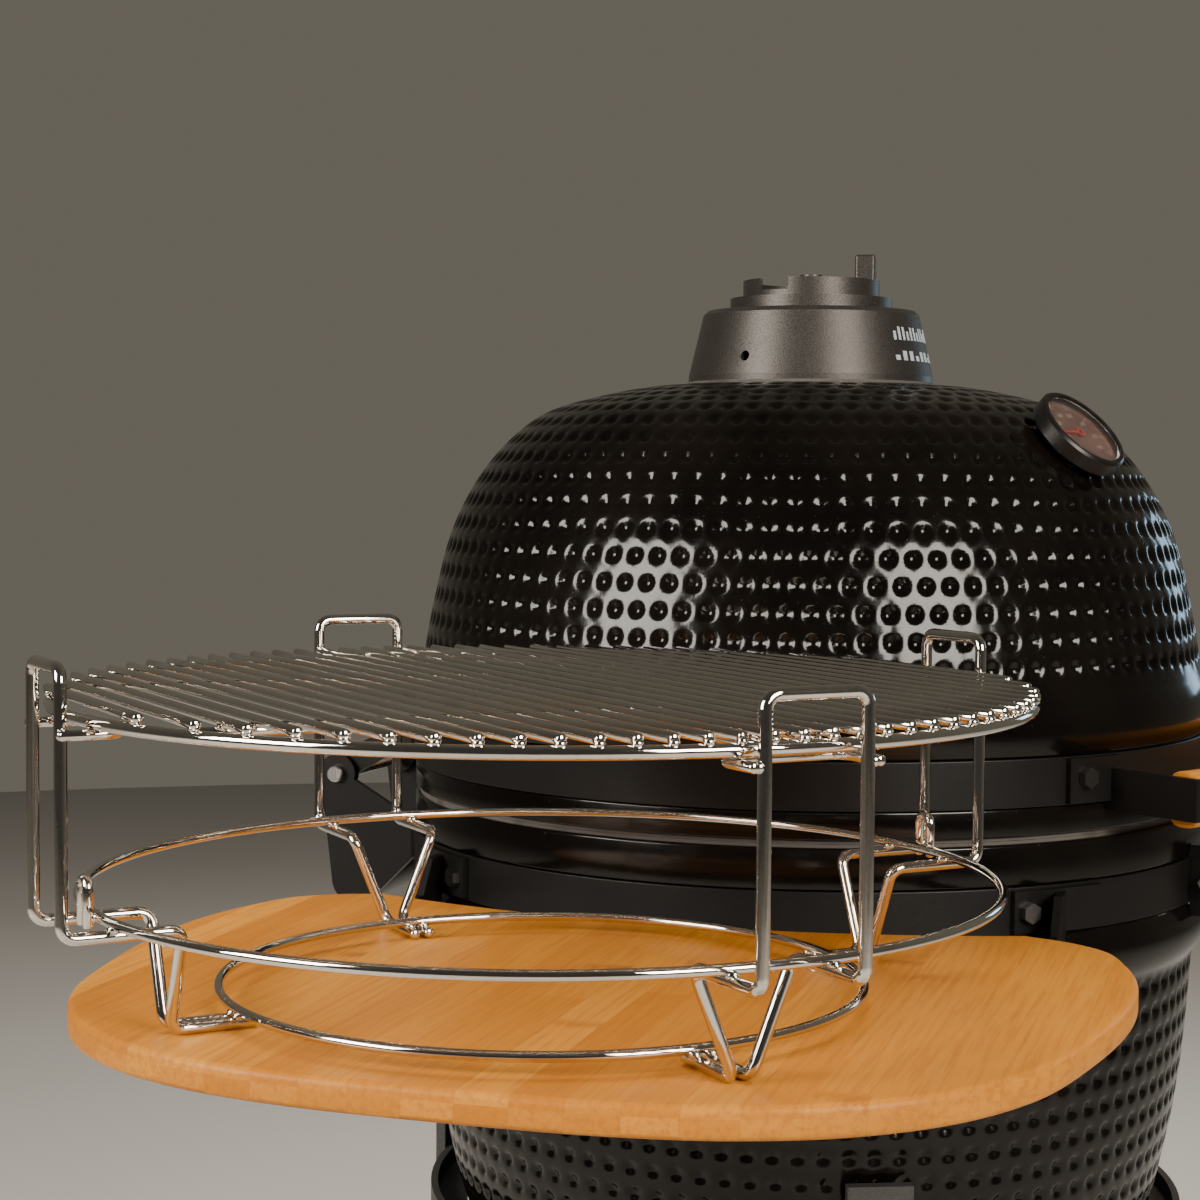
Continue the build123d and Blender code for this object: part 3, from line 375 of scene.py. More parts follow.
# %% Painted and cast metals
def coated(name, dark, light, rough, grain, depth, metal=0.0, rub=0.35, gloss=0.5):
    """Powder coat or cast skin: a fine grain, slow change of sheen, rubbed patches and thin scratches."""
    f = Finish(name, Metallic=metal, Specular_IOR_Level=gloss)
    slow, skin = f.noise(14, 4), f.noise(grain, 2)
    lines = f.noise(420, 2, f.scaled((0.08, 1, 1)))
    rubbed = slow.over(0.58, 0.78) * rub
    scratch = lines.over(0.74, 0.78) * rubbed
    tone = f.mix(skin.over(0.3, 0.7), dark, light)
    tone = f.mix(scratch, tone, tuple(min(1.0, c * 5 + 0.06) for c in light))
    sheen = slow * 0.16 + skin * 0.08 + (rough - 0.12) - rubbed * 0.12
    return f.wear(tone, sheen, skin - scratch * 0.5, depth, 0.5)


BLACK_STEEL = coated("black_steel", (0.0035, 0.0032, 0.003), (0.008, 0.0074, 0.007), 0.38, 1500, 0.00012,
                     gloss=0.22)
CART_STEEL = coated("cart_steel", (0.022, 0.022, 0.022), (0.046, 0.045, 0.043), 0.58, 900, 0.0003)
CAST_IRON = coated("cast_iron", (0.030, 0.029, 0.028), (0.080, 0.075, 0.070), 0.66, 480, 0.0007, 0.5)
VENT_CAST = coated("vent_cast", (0.034, 0.031, 0.028), (0.062, 0.057, 0.051), 0.40, 1100, 0.0002, 0.6)
GAUGE_RIM = coated("gauge_rim", (0.009, 0.0085, 0.008), (0.021, 0.019, 0.018), 0.32, 1300, 0.00008, 0.6)
print("painted and cast metals ready")


# %% Bare metals
def bare(name, pale, dull, rough, drawn=(1, 1, 1), streak=500, stain=0.0, uneven=0.10):
    """Bare metal: marks drawn out along one direction, cloudy handling marks and a warm stain."""
    f = Finish(name, Metallic=1.0)
    marks = f.noise(streak, 3, f.scaled(drawn))
    cloud = f.noise(26, 3)
    tone = f.mix(marks, dull, pale)
    tone = f.mix(cloud.over(0.55, 0.8) * stain, tone, (0.42, 0.30, 0.19))
    sheen = cloud.over(0.35, 0.75) * uneven + marks * 0.04 + (rough - 0.02 - uneven / 2)
    return f.wear(tone, sheen, marks, 0.00004, 0.35)


WIRE = bare("polished_wire", (0.80, 0.76, 0.70), (0.62, 0.58, 0.53), 0.07, stain=0.25, uneven=0.05)
STAINLESS = bare("stainless", (0.66, 0.64, 0.61), (0.48, 0.46, 0.44), 0.30, (1, 1, 0.06), 900, 0.15)
BOLT_STEEL = bare("bolt_steel", (0.27, 0.26, 0.25), (0.13, 0.125, 0.12), 0.33, (1, 1, 1), 700, 0.2)
ZINC = bare("zinc_steel", (0.62, 0.63, 0.64), (0.43, 0.44, 0.45), 0.36, (1, 1, 1), 130, 0.05)
print("bare metals ready")

# %% [markdown]
# ## Bamboo
# The shelves and the handle are glued up from bamboo strips. Each strip has its own tone, long fine
# fibres, and now and then the darker smudge of a node across it. Here a strip's number is the rounded-down
# place across the board, and a white noise of that number gives its tone and where its nodes fall. The
# board is two layers thick, and the lower layer is staggered, which shows at the edge as short blocks.

# %% Bamboo finish
def bamboo(name, strip, use_uv=False):
    """Strips side by side, of the given width in metres, with the fibres along the first direction."""
    f = Finish(name, Specular_IOR_Level=0.20)
    base = f.node("ShaderNodeUVMap", {"uv_map": "lay"}) if use_uv else f.place
    parts = f.node("ShaderNodeSeparateXYZ", None, {0: base})
    along, across, up = (Val(f, parts.socket.node.outputs[i]) for i in range(3))
    layer = up.math("SNAP", 0.0074) * 137.0
    row = (across * (1 / strip) + layer).math("FLOOR")
    pick = f.node("ShaderNodeTexWhiteNoise", {"noise_dimensions": "1D"}, {"W": row})
    shift = along + pick * 0.9
    piece = f.node("ShaderNodeTexWhiteNoise", {"noise_dimensions": "2D"}, {"Vector": f.node(
        "ShaderNodeCombineXYZ", None, {0: (shift * 2.2).math("FLOOR"), 1: row})})
    fibre = f.noise(95, 4, f.scaled((0.13, 3.2, 3.2), base), 0.62)
    fine = f.noise(420, 3, f.scaled((0.05, 2.6, 2.6), base), 0.6)
    cloud = f.noise(11, 3, f.scaled((0.7, 1.6, 1.6), base))
    tone = f.mix(pick * 0.55 + piece * 0.45, (0.40, 0.136, 0.010), (0.56, 0.235, 0.028))
    tone = f.mix(fibre.over(0.42, 0.66) * 0.55, tone, (0.34, 0.110, 0.010))
    tone = f.mix(fine.over(0.55, 0.75) * 0.25, tone, (0.66, 0.320, 0.070))
    spot = (shift * 4.1 + fibre * 0.12).math("FRACT")
    node = (1 - (spot - 0.5).math("ABSOLUTE").over(0.006, 0.040)) * piece.over(0.45, 0.7)
    tone = f.mix(node * (cloud.over(0.35, 0.65) * 0.75), tone, (0.23, 0.066, 0.007))
    tone = f.mix(cloud.over(0.45, 0.8) * 0.28, tone, (0.39, 0.135, 0.013))
    gap = 1 - ((across * (1 / strip) + layer).math("FRACT") - 0.5).math("ABSOLUTE").over(0.48, 0.5) * 0.22
    tone = f.mix((1 - gap) * 0.7, tone, (0.17, 0.050, 0.005))
    rough = fibre * 0.16 + cloud * 0.10 + 0.34
    return f.wear(tone, rough, fibre * 0.5 + fine * 0.5 + gap * 0.8, 0.00022, 0.5)


BAMBOO = bamboo("bamboo", 0.024)
BAMBOO_GRIP = bamboo("bamboo_grip", 0.012, use_uv=True)
print("bamboo ready")

# %% [markdown]
# ## Gauge, glass and tyres
# The dial is printed enamel, the needle is painted, and the lens is clear glass with a faint smear. The
# tyres are black rubber, scuffed grey where they roll.

# %% Small finishes
def spotted(name, base, spot, rough, scale, depth, **steady):
    """A plain paint or rubber with fine speckle and slow dirt."""
    f = Finish(name, **steady)
    slow, fine = f.noise(scale, 3), f.noise(scale * 18, 2)
    tone = f.mix(slow.over(0.45, 0.75) * 0.7 + fine.over(0.6, 0.8) * 0.25, base, spot)
    return f.wear(tone, slow * 0.14 + fine * 0.06 + rough, fine, depth, 0.4)


DIAL = spotted("dial_face", (0.150, 0.062, 0.046), (0.090, 0.038, 0.028), 0.34, 60, 0.00004)
DIAL_INK = spotted("dial_ink", (0.58, 0.53, 0.46), (0.44, 0.39, 0.33), 0.42, 90, 0.00003)
DIAL_ZONE = spotted("dial_zone", (0.46, 0.075, 0.020), (0.34, 0.055, 0.016), 0.40, 90, 0.00003)
NEEDLE_RED = spotted("needle_red", (0.50, 0.022, 0.014), (0.36, 0.018, 0.012), 0.30, 120, 0.00003)
PALE_INK = spotted("pale_ink", (0.42, 0.49, 0.53), (0.28, 0.33, 0.36), 0.52, 140, 0.00004)
RUBBER = spotted("wheel_rubber", (0.014, 0.014, 0.014), (0.060, 0.056, 0.050), 0.62, 35, 0.0003)
GLASS = spotted("clear_glass", (0.98, 0.99, 0.98), (0.93, 0.95, 0.94), 0.02, 30, 0.00001,
                Transmission_Weight=1.0, IOR=1.46)
print("small finishes ready")

# %% [markdown]
# ## The dimpled shell
# Dome and bowl are turned shapes with about three thousand shallow round dimples pressed in rows. Putting
# a fine even grid everywhere would waste faces, so each row of dimples has its own ring count, eight
# points to a dimple on the dome and six on the bowl. Neighbouring rows are zipped together over the flat
# web between them. The depth of a dimple is half of one plus the cosine of the distance from its middle,
# which meets the web without a crease. Both pieces are closed skins, glazed outside and bare clay inside.

# %% Rows of dimples
DIMPLE_R, DIMPLE_DEPTH, DIMPLE_PITCH, ROW_GAP = 6.6, 2.9, 15.7, 16.9
ACROSS = np.array([-6.55, -4.5, -2.2, 0.0, 2.2, 4.5, 6.55])


def dimple_rows(curve, first, last, twist, around):
    """Rings of a dimpled wall; around is the number of points for each dimple of a row. Each point of
    the plain ring sinks along the inward normal by depth (1 + cos(pi d / radius)) / 2, where d is its
    distance from the nearest dimple's middle."""
    s = np.r_[0, np.cumsum(np.linalg.norm(np.diff(curve, axis=0), axis=1))]
    slope = unit(np.gradient(curve, s, axis=0))
    count = int((s[-1] - first - last) / ROW_GAP) + 1
    middles = np.linspace(first, s[-1] - last, count)
    rings = []
    total = 0
    for row, middle in enumerate(middles):
        r_mid = np.interp(middle, s, curve[:, 0])
        n = int(round(2 * math.pi * r_mid / DIMPLE_PITCH))
        total += n
        turn = (row * twist % 1) * 2 * math.pi / n
        step = 2 * math.pi / (around * n)
        a = turn % step + step * np.arange(around * n)
        off = (a - turn) * n / (2 * math.pi)
        side = (off - np.round(off)) * 2 * math.pi * r_mid / n
        for d in ACROSS:
            r, z, dr, dz = (np.interp(middle + d, s, c) for c in (*curve.T, *slope.T))
            away = np.minimum(np.hypot(side, d) / DIMPLE_R, 1)
            sink = DIMPLE_DEPTH * (1 + np.cos(math.pi * away)) / 2
            rr, zz = r - sink * dz, z + sink * dr
            rings.append(np.stack([rr * np.cos(a), rr * np.sin(a), zz], 1))
    print(f"{count} rows, {total} dimples")
    return rings


# %% Dome
SMOOTH, COARSE, TWIST = 240, 144, 0.382
RIM_R, BAND_SEAT, INNER_R, VENT_R, WALL = 277.5, 275.5, 252.5, 62.0, 25
LID_RIM, BOWL_RIM = 800.15, 795.85
dome_knots = [(271.5, 892), (264.5, 932), (249.1, 987), (223.9, 1029), (190.8, 1058.5), (147.1, 1073),
              (86, 1081)]
dome_curve = curve_through(dome_knots, (-0.12, 1), (-1, 0), 400)


def inset(curve, depth):
    """Each point of a half profile moved inward by depth, square to the profile."""
    slope = unit(np.gradient(curve, axis=0))
    return curve - depth * np.stack([slope[:, 1], -slope[:, 0]], 1)


def soft_corner(points, radius, steps=4):
    """A polyline with its inner corners rounded, as a list of (r, z)."""
    return rounded(np.array(points, float), radius, steps)


lip = soft_corner([(INNER_R + 8, LID_RIM), (RIM_R, LID_RIM), (RIM_R, 818.0), (BAND_SEAT, 818.0)], 1.6)
bulge = arc3((276.5, 848), (279, 862), (274, 886), 26)
dome_inner = inset(dome_curve[::14], WALL)[::-1]
dome_low = [(INNER_R, 802.5), (INNER_R + 2, LID_RIM), *lip, (BAND_SEAT, 848), *bulge, (273.2, 889)]
dome_top = [(82, 1081), (64, 1081), (VENT_R, 1079), (VENT_R, 1058), (66, 1056)]
dome_inside = [*dome_inner, (INNER_R, 848), (INNER_R, 820)]
rings = [ring(r, z, SMOOTH) for r, z in dome_low]
rings += dimple_rows(dome_curve, 9.0, 14.0, TWIST, 8)
rings += [ring(86, 1081, SMOOTH)] + [ring(r, z, SMOOTH) for r, z in dome_top]
glazed = len(rings) - 3
rings += [ring(r, z, COARSE) for r, z in dome_inside]
dome_kinds = [0 if i < glazed else 1 for i in range(len(rings))]
dome = mesh_piece("dome_glazed", stack(rings, closed=True, finish=dome_kinds))
place(dome, "lid", "black_glaze", [GLAZE, CLAY], "lid_dome")

# %% Bowl
bowl_knots = [(155.5, 405), (207.5, 446), (240, 506), (256, 568), (270, 699)]
bowl_curve = curve_through(bowl_knots, (1, 0.28), (0.06, 1), 400)
bowl_bulge = arc3((273, 702), (281.5, 724), (276.5, 740), 26)
bowl_lip = soft_corner([(BAND_SEAT, 770), (RIM_R, 770), (RIM_R, BOWL_RIM), (INNER_R + 8, BOWL_RIM)], 1.6)
bowl_foot = [(60, 400), (120, 400), (149, 402.4)]
bowl_inner = inset(bowl_curve[::14], WALL)[::-1]
bowl_inner = bowl_inner[bowl_inner[:, 1] > 427]
bowl_high = [*bowl_bulge, (BAND_SEAT, 740), *bowl_lip, (INNER_R + 2, BOWL_RIM)]
bowl_inside = [(INNER_R, 793.5), (INNER_R, 740), *bowl_inner, (110, 425), (50, 425)]
rings = [np.array([[0, 0, 400.0]])] + [ring(r, z, COARSE) for r, z in bowl_foot]
rings += dimple_rows(bowl_curve, 9.0, 8.0, TWIST, 6)
rings += [ring(r, z, SMOOTH) for r, z in bowl_high]
glazed = len(rings) - 1
rings += [ring(r, z, COARSE) for r, z in bowl_inside] + [np.array([[0, 0, 425.0]])]
bowl_kinds = [0 if i < glazed else 1 for i in range(len(rings))]
bowl = mesh_piece("bowl_glazed", stack(rings, finish=bowl_kinds))

# %% [markdown]
# The draft opening is a straight cut through the front wall. Working a square hole into round rings by
# hand would spoil the rows of dimples, so it is cut the way a potter's knife would: a box is taken away
# from the finished skin, and the result is read back as a plain mesh.

# %% Cut the draft opening
def cut_box(piece, low, high):
    """Take an upright box, given by its two corners in millimetres, away from a closed piece."""
    corner = np.array([[x, y, z] for x in (0, 1) for y in (0, 1) for z in (0, 1)])
    points = np.array(low) + corner * (np.array(high) - np.array(low))
    knife = mesh_piece("knife", [(points, [BLOCK_SIDES], [np.ones(6)])])
    for finish in (GLAZE, CLAY):
        knife.data.materials.append(finish)
    cut = piece.modifiers.new("cut", "BOOLEAN")
    cut.operation = "DIFFERENCE"
    cut.solver = "EXACT"
    cut.object = knife
    graph = bpy.context.evaluated_depsgraph_get()
    mesh = bpy.data.meshes.new_from_object(piece.evaluated_get(graph))
    piece.modifiers.clear()
    piece.data = mesh
    bpy.data.objects.remove(knife)
    mesh.materials.clear()


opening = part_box("draft_mesh")
middle = (opening[0] + opening[1]) / 2 / MM
CUT_X, CUT_Z = 48.4, 23.4
cut_box(bowl, (-CUT_X, -320, middle.z - CUT_Z), (CUT_X, -150, middle.z + CUT_Z))
place(bowl, "base", "black_glaze", [GLAZE, CLAY], "base_bowl")

# %% [markdown]
# ## Bamboo shelves and handle
# A shelf is a half-moon board, hollowed on the side that fits the grill. Its outline is two
# superellipses joined by an arc. The board is that outline carried round a small profile: up from the
# underside, round a softened edge, and in over the top, so light catches the edge as it does on sanded
# wood. The handle is a strip bent to an arc, so its strips run along its own UV map.

# %% Shelves
def superellipse(angle, half_x, half_y, power):
    """Points whose cosine and sine are raised to two over the power, so corners fill out."""
    t = np.radians(np.array(angle, float))
    return np.stack([half_x * np.cos(t) ** (2 / power), half_y * np.sin(t) ** (2 / power)], 1)


def board_outline(sign, near=309, middle=450, far=725, wide=260, horn=195, power=4.5, count=300):
    """The board's edge as a closed curve, counterclockwise, for one side of the grill. It reaches from
    near to far and is widest at the middle. Its two horns stand at near, with the hollow between them."""
    turn = math.degrees(math.asin((horn / wide) ** (power / 2)))
    inner = superellipse([turn + 13, turn + 28, 77], 151, wide, power) * (-1, 1) + (middle, 0)
    outer = superellipse([76, 62, 48, 34, 20, 9, 2.5], far - middle, wide, 2.8) + (middle, 0)
    half = np.concatenate([[(near, horn)], inner, outer])
    knots = np.concatenate([half, [(far, 0)], half[::-1] * (1, -1)])
    start = unit(knots[1] - knots[0])
    edge = curve_through(knots, start, start * (-1, 1), count)
    hollow = arc3((near, -horn), (345, 0), (near, horn), 60)[1:-1]
    loop = np.concatenate([edge, hollow])[::-1] * (sign, 1)
    return loop if sign > 0 else loop[::-1]


def board(name, sign, top=760.0, thick=15.0, soft=3.2):
    """A flat board with softened edges: the outline moved in by the profile's depth at each height."""
    loop = board_outline(sign)
    near = np.roll(loop, -1, 0) - np.roll(loop, 1, 0)
    near = unit(sum(np.roll(near, k, 0) for k in (-2, -1, 0, 1, 2)))
    inward = np.stack([-near[:, 1], near[:, 0]], 1)
    turn = np.radians([0, 22, 45, 68, 90])
    low = [(soft * (1 - math.sin(t)), -thick + soft * (1 - math.cos(t))) for t in turn]
    high = [(d, -thick - h) for d, h in low[::-1]]
    middle = np.array([sign * 520.0, 0])
    rings = [np.array([[*middle, top - thick]])]
    for depth, height in [(14, -thick), (6, -thick), *low, *high, (6, 0), (14, 0)]:
        flat = loop + inward * depth
        rings.append(np.column_stack([flat, np.full(len(flat), top + height)]))
    rings.append(np.array([[*middle, top]]))
    return mesh_piece(name, stack(rings))


for sign, hand in ((-1, "left"), (1, "right")):
    place(board(f"board_{hand}", sign), f"{hand}_shelf", "bamboo", [BAMBOO], f"shelf_{hand}")


# %% Handle grip
def grip(radius=334.0, z=825.0, half_angle=35.0, wide=24.0, high=34.0, soft=10.0, steps=70):
    """A rounded rectangle carried along an arc about the grill's axis, its two ends eased over."""
    w, h = wide / 2, high / 2
    section = rounded([(-w, -h), (w, -h), (w, h), (-w, h)], soft, 8, closed=True)
    ease = [(0.0, 0.86), (0.25, 0.95), (0.9, 1.0)]
    reach = math.radians(half_angle)
    offset = [d / radius for d, _ in ease]
    a = np.r_[[-reach + d for d in offset], np.linspace(-reach + 0.02, reach - 0.02, steps)]
    a = np.r_[a, [reach - d for d in offset[::-1]]] - math.pi / 2
    grow = np.r_[[k for _, k in ease], np.ones(steps), [k for _, k in ease[::-1]]]
    r = radius + section[None, :, 0] * grow[:, None]
    zz = z + section[None, :, 1] * grow[:, None]
    rings = np.stack([r * np.cos(a)[:, None], r * np.sin(a)[:, None], zz], 2)
    ends = [np.array([[radius * math.cos(t), radius * math.sin(t), z]]) for t in (a[0], a[-1])]
    parts = stack([ends[0], *rings[:, ::-1], ends[1]])
    lay = np.stack([radius * np.repeat(a, len(section)), np.tile(section[::-1, 0], len(a))], 1)
    lay = np.concatenate([[[radius * a[0], 0]], lay, [[radius * a[-1], 0]]])
    return mesh_piece("grip_bamboo", parts, uv=lay)


place(grip(), "lid", "bamboo", [BAMBOO_GRIP], "handle_grip")

# %% [markdown]
# ## The wire rack and the grate
# All of it is round stainless wire, bent on a jig and spot welded, then polished. A wire is a circle
# carried along a path whose corners are rounded to the bend radius. Each weld leaves a small bead, which
# is what tells the eye that the wires are joined, so beads are added where wires cross.

# %% Wire helpers
RACK = np.array([-540.0, 14.0, 760.0])
FRAME_ANGLES = (45, 135, 225, 315)


def turned(points, angle):
    """Points given as (outward, sideways, up) at the rack, turned by an angle about its upright axis."""
    c, s = math.cos(math.radians(angle)), math.sin(math.radians(angle))
    p = np.array(points, float)
    return RACK + np.stack([p[:, 0] * c - p[:, 1] * s, p[:, 0] * s + p[:, 1] * c, p[:, 2]], 1)


def bent(points, radius, wire, angles=FRAME_ANGLES, sides=14):
    """The same bent wire at several angles round the rack."""
    path = rounded(points, radius)
    return [part for angle in angles for part in tube(turned(path, angle), wire / 2, sides)]


def hoop(radius, height, wire, count=160, sides=14):
    """A closed ring of wire round the rack's axis."""
    path = ring(radius, height, count) + RACK
    return tube(path, wire / 2, sides, closed=True, lean=(0, 0, 1))


def beads(middles, radius, flat=0.8):
    """Small weld beads: each is a sphere of 8 by 5 faces, flattened upright."""
    rise = np.radians([-90, -50, -17, 17, 50, 90])
    parts = []
    for middle in np.array(middles, float):
        rings = [ring(radius * math.cos(t), radius * flat * math.sin(t), 8) for t in rise[1:-1]]
        ends = [np.array([[0, 0, radius * flat * k]]) for k in (-1.0, 1.0)]
        parts += [(p + middle, f, k) for p, f, k in stack([ends[0], *rings, ends[1]])]
    return parts


# %% Rings, frames, hooks and posts
THIN, THICK = 5, 6
FOOT_R, FOOT_HALF, MIDDLE_R, MIDDLE_Z = 159, 4.2, 225, 58
LOOP_R, LOOP_HALF, LOOP_TOP, HOOK_Z, HOOK_HALF = 247, 24.5, 172, 143.2, 29.92
POST_R, POST_HALF, POST_ANGLES = 229.92, 5, (135, 315)


def welds(out, half, up, radius, flat=0.8, angles=FRAME_ANGLES):
    """A bead on each side of the middle at every angle of the rack."""
    return beads([p for a in angles for p in turned([(out, -half, up), (out, half, up)], a)], radius, flat)


low_ring = mesh_piece("ring_low", hoop(FOOT_R, 8.42, THIN))
place(low_ring, "rack", "polished_wire", [WIRE], "rack_base_ring")
middle_ring = mesh_piece("ring_middle", hoop(MIDDLE_R, MIDDLE_Z, THIN))
place(middle_ring, "rack", "polished_wire", [WIRE], "rack_mid_ring")

leg = [(150, -FOOT_HALF, THICK / 2), (192, -FOOT_HALF, THICK / 2), (192, -LOOP_HALF, 52.58)]
side = leg + [(LOOP_R, -LOOP_HALF, 52.58), (LOOP_R, -LOOP_HALF, LOOP_TOP)]
frame_path = side + [(out, -across, up) for out, across, up in side[::-1]]
frames = bent(frame_path, 6.5, THICK)
frames += welds(FOOT_R, FOOT_HALF, 5.9, 3.3) + welds(223.7, LOOP_HALF, 55.5, 3.4)
place(mesh_piece("frames_bent", frames), "rack", "polished_wire", [WIRE], "rack_frames")

hook_path = [(out, k * HOOK_HALF, HOOK_Z) for out, k in ((249, -1), (221, -1), (221, 1), (249, 1))]
hooks = bent(hook_path, 8, THIN) + welds(LOOP_R, 27.3, HOOK_Z, 2.9, 1.0)
place(mesh_piece("hooks_bent", hooks), "rack", "polished_wire", [WIRE], "rack_hooks")

post_path = [(POST_R, k * POST_HALF, up) for k, up in ((-1, 53), (-1, 75), (1, 75), (1, 53))]
posts = bent(post_path, 4.5, THIN, POST_ANGLES)
posts += welds(227.5, POST_HALF, MIDDLE_Z, 2.8, 1.0, POST_ANGLES)
place(mesh_piece("posts_bent", posts), "rack", "polished_wire", [WIRE], "rack_posts")

# %% Grate
GRATE_R, GRATE_Z, BAR_Z, BAR_PITCH, BAR_R, GRATE_TURN = 238, 149, 154.42, 14.2, 2.5, 45
grate_ring = mesh_piece("grate_hoop", hoop(GRATE_R, GRATE_Z, THICK))
place(grate_ring, "grate", "polished_wire", [WIRE], "grate_ring")

offsets = (np.arange(33) - 16) * BAR_PITCH
bars = []
for offset, half in zip(offsets, np.sqrt((GRATE_R + 1.5)**2 - offsets**2)):
    line = np.stack([np.linspace(-half, half, 9), np.full(9, offset), np.full(9, BAR_Z)], 1)
    bars += tube(turned(line, GRATE_TURN), BAR_R, 12)
ends = [(k * h, o, 152.6) for o, h in zip(offsets, np.sqrt(GRATE_R**2 - offsets**2)) for k in (-1, 1)]
bars += beads(turned(ends, GRATE_TURN), 2.7)
place(mesh_piece("bars_straight", bars), "grate", "polished_wire", [WIRE], "grate_bars")

CROSS_Z, CROSS_OUT, PIN_HALF = BAR_Z - 2 * BAR_R + 0.08, 96.0, 17
cross = []
for k in (-1, 1):
    half = math.sqrt((GRATE_R - THICK / 2)**2 - CROSS_OUT**2) - BAR_R
    line = np.stack([np.full(9, k * CROSS_OUT), np.linspace(-half, half, 9), np.full(9, CROSS_Z)], 1)
    cross += tube(turned(line, GRATE_TURN), BAR_R, 12)
    pin = [(out, j * PIN_HALF, CROSS_Z) for out, j in ((100.92, -1), (229, -1), (229, 1), (100.92, 1))]
    cross += bent(pin, 12, THIN, (GRATE_TURN if k > 0 else GRATE_TURN + 180,), 12)
place(mesh_piece("cross_wires_bent", cross), "grate", "polished_wire", [WIRE], "grate_cross_wires")

# %% [markdown]
# ## Vent and thermometer
# The vent tower and its cap are good castings in the engineering model, so they stay and only get a cast
# finish. What they lack is the printed scale that shows how far the cap is open: two rows of short pale
# strokes round the front of the tower. The dial gets strokes, numbers and a coloured hot zone in the same
# way, as thin raised ink, which stays crisp in any view.

# %% Strokes round a tower or a dial
def strokes(angles, r0, r1, wide, thick, place_point, about=None, sides=BLOCK_SIDES):
    """Thin blocks on a turned surface. Each runs from r0 to r1 at its angle, and place_point turns
    (radius, angle, height) into a point. A block's sides are half its width away, as an angle at the
    radius about, or at the point's own radius on a flat dial."""
    parts = []
    grid = np.array([[i, j, k] for i in (0, 1) for j in (-1, 1) for k in (0, 1)], float)
    for angle in angles:
        r = r0 + grid[:, 0] * (r1 - r0)
        a = angle + grid[:, 1] * wide / 2 / (about or r)
        parts.append((place_point(r, a, grid[:, 2] * thick), [sides], [np.zeros(6)]))
    return parts


TOWER_Z, TOWER_R, TOWER_TAPER, TOWER_STEP = 1083.0, 86.0, 10 / 43, 4.0


def on_tower(height, angle, up):
    """A point on the tower's slanting wall: height above its foot, angle round it, and up off it."""
    r = TOWER_R - (height - TOWER_STEP) * TOWER_TAPER + up + 0 * angle
    return np.stack([r * np.cos(angle), r * np.sin(angle), TOWER_Z + height], 1)


def tower_marks(first=-122, last=-74, shorter=3.0, thick=0.25, about=84.0):
    """Two rows of upright strokes on the tower, every third one shorter. Height, angle and distance off
    the wall turn the other way from a dial's, so the blocks' faces are reversed."""
    parts = []
    for low, high, wide, count in ((28.0, 37.0, 2.6, 15), (14.0, 20.5, 4.4, 10)):
        angles = np.radians(np.linspace(first, last, count))
        third = np.arange(count) % 3 == 0
        for group, top in ((angles[third], high - shorter), (angles[~third], high)):
            parts += strokes(group, low, top, wide, thick, on_tower, about, BLOCK_SIDES[:, ::-1])
    return mesh_piece("vent_scale", parts, smooth=False)


place(tower_marks(), "lid", "dial_face", [PALE_INK])

# %% Dial printing
TILT, TURN = math.radians(43.8), math.radians(-116)
LEVEL = np.array([math.cos(TURN), math.sin(TURN), 0])
DIAL_OUT = LEVEL * math.cos(TILT) + np.array([0, 0, math.sin(TILT)])
DIAL_RIGHT = np.array([-LEVEL[1], LEVEL[0], 0])
DIAL_UP = np.cross(DIAL_OUT, DIAL_RIGHT)
DIAL_MID = LEVEL * 214.3 + np.array([0, 0, 1040.3])
DIAL_FACE = 7.2
SCALE_R, NUMBER_R, NUMBER_SIZE, INK = 26.7, 17.0, 4.4, 0.06
SCALE_START, SCALE_END = math.radians(225), math.radians(-45)


def on_dial(r, a, t):
    """A point on the dial's face, from its radius, its angle round from the right, and its height."""
    flat = (r * np.cos(a))[:, None] * DIAL_RIGHT + (r * np.sin(a))[:, None] * DIAL_UP
    return DIAL_MID + flat + (DIAL_FACE + t)[:, None] * DIAL_OUT


def zone(r0, r1, a0, a1, thick, count=60):
    """A flat piece of a ring between two radii and two angles, with its top, its edges and its ends."""
    a = np.linspace(a0, a1, count)
    corners = [(r0, 0), (r1, 0), (r1, thick), (r0, thick)]
    sections = np.stack([on_dial(r + 0 * a, a, t + 0 * a) for r, t in corners], 1)
    n = np.arange(count - 1)[:, None] * 4
    sides = np.concatenate([n + np.array([[k, k + 4, (k + 1) % 4 + 4, (k + 1) % 4]]) for k in range(4)])
    last = (count - 1) * 4
    lids = np.array([[0, 1, 2, 3], [last + 3, last + 2, last + 1, last]])
    return [(sections.reshape(-1, 3), [sides, lids], [np.zeros(len(sides)), np.zeros(2)])]


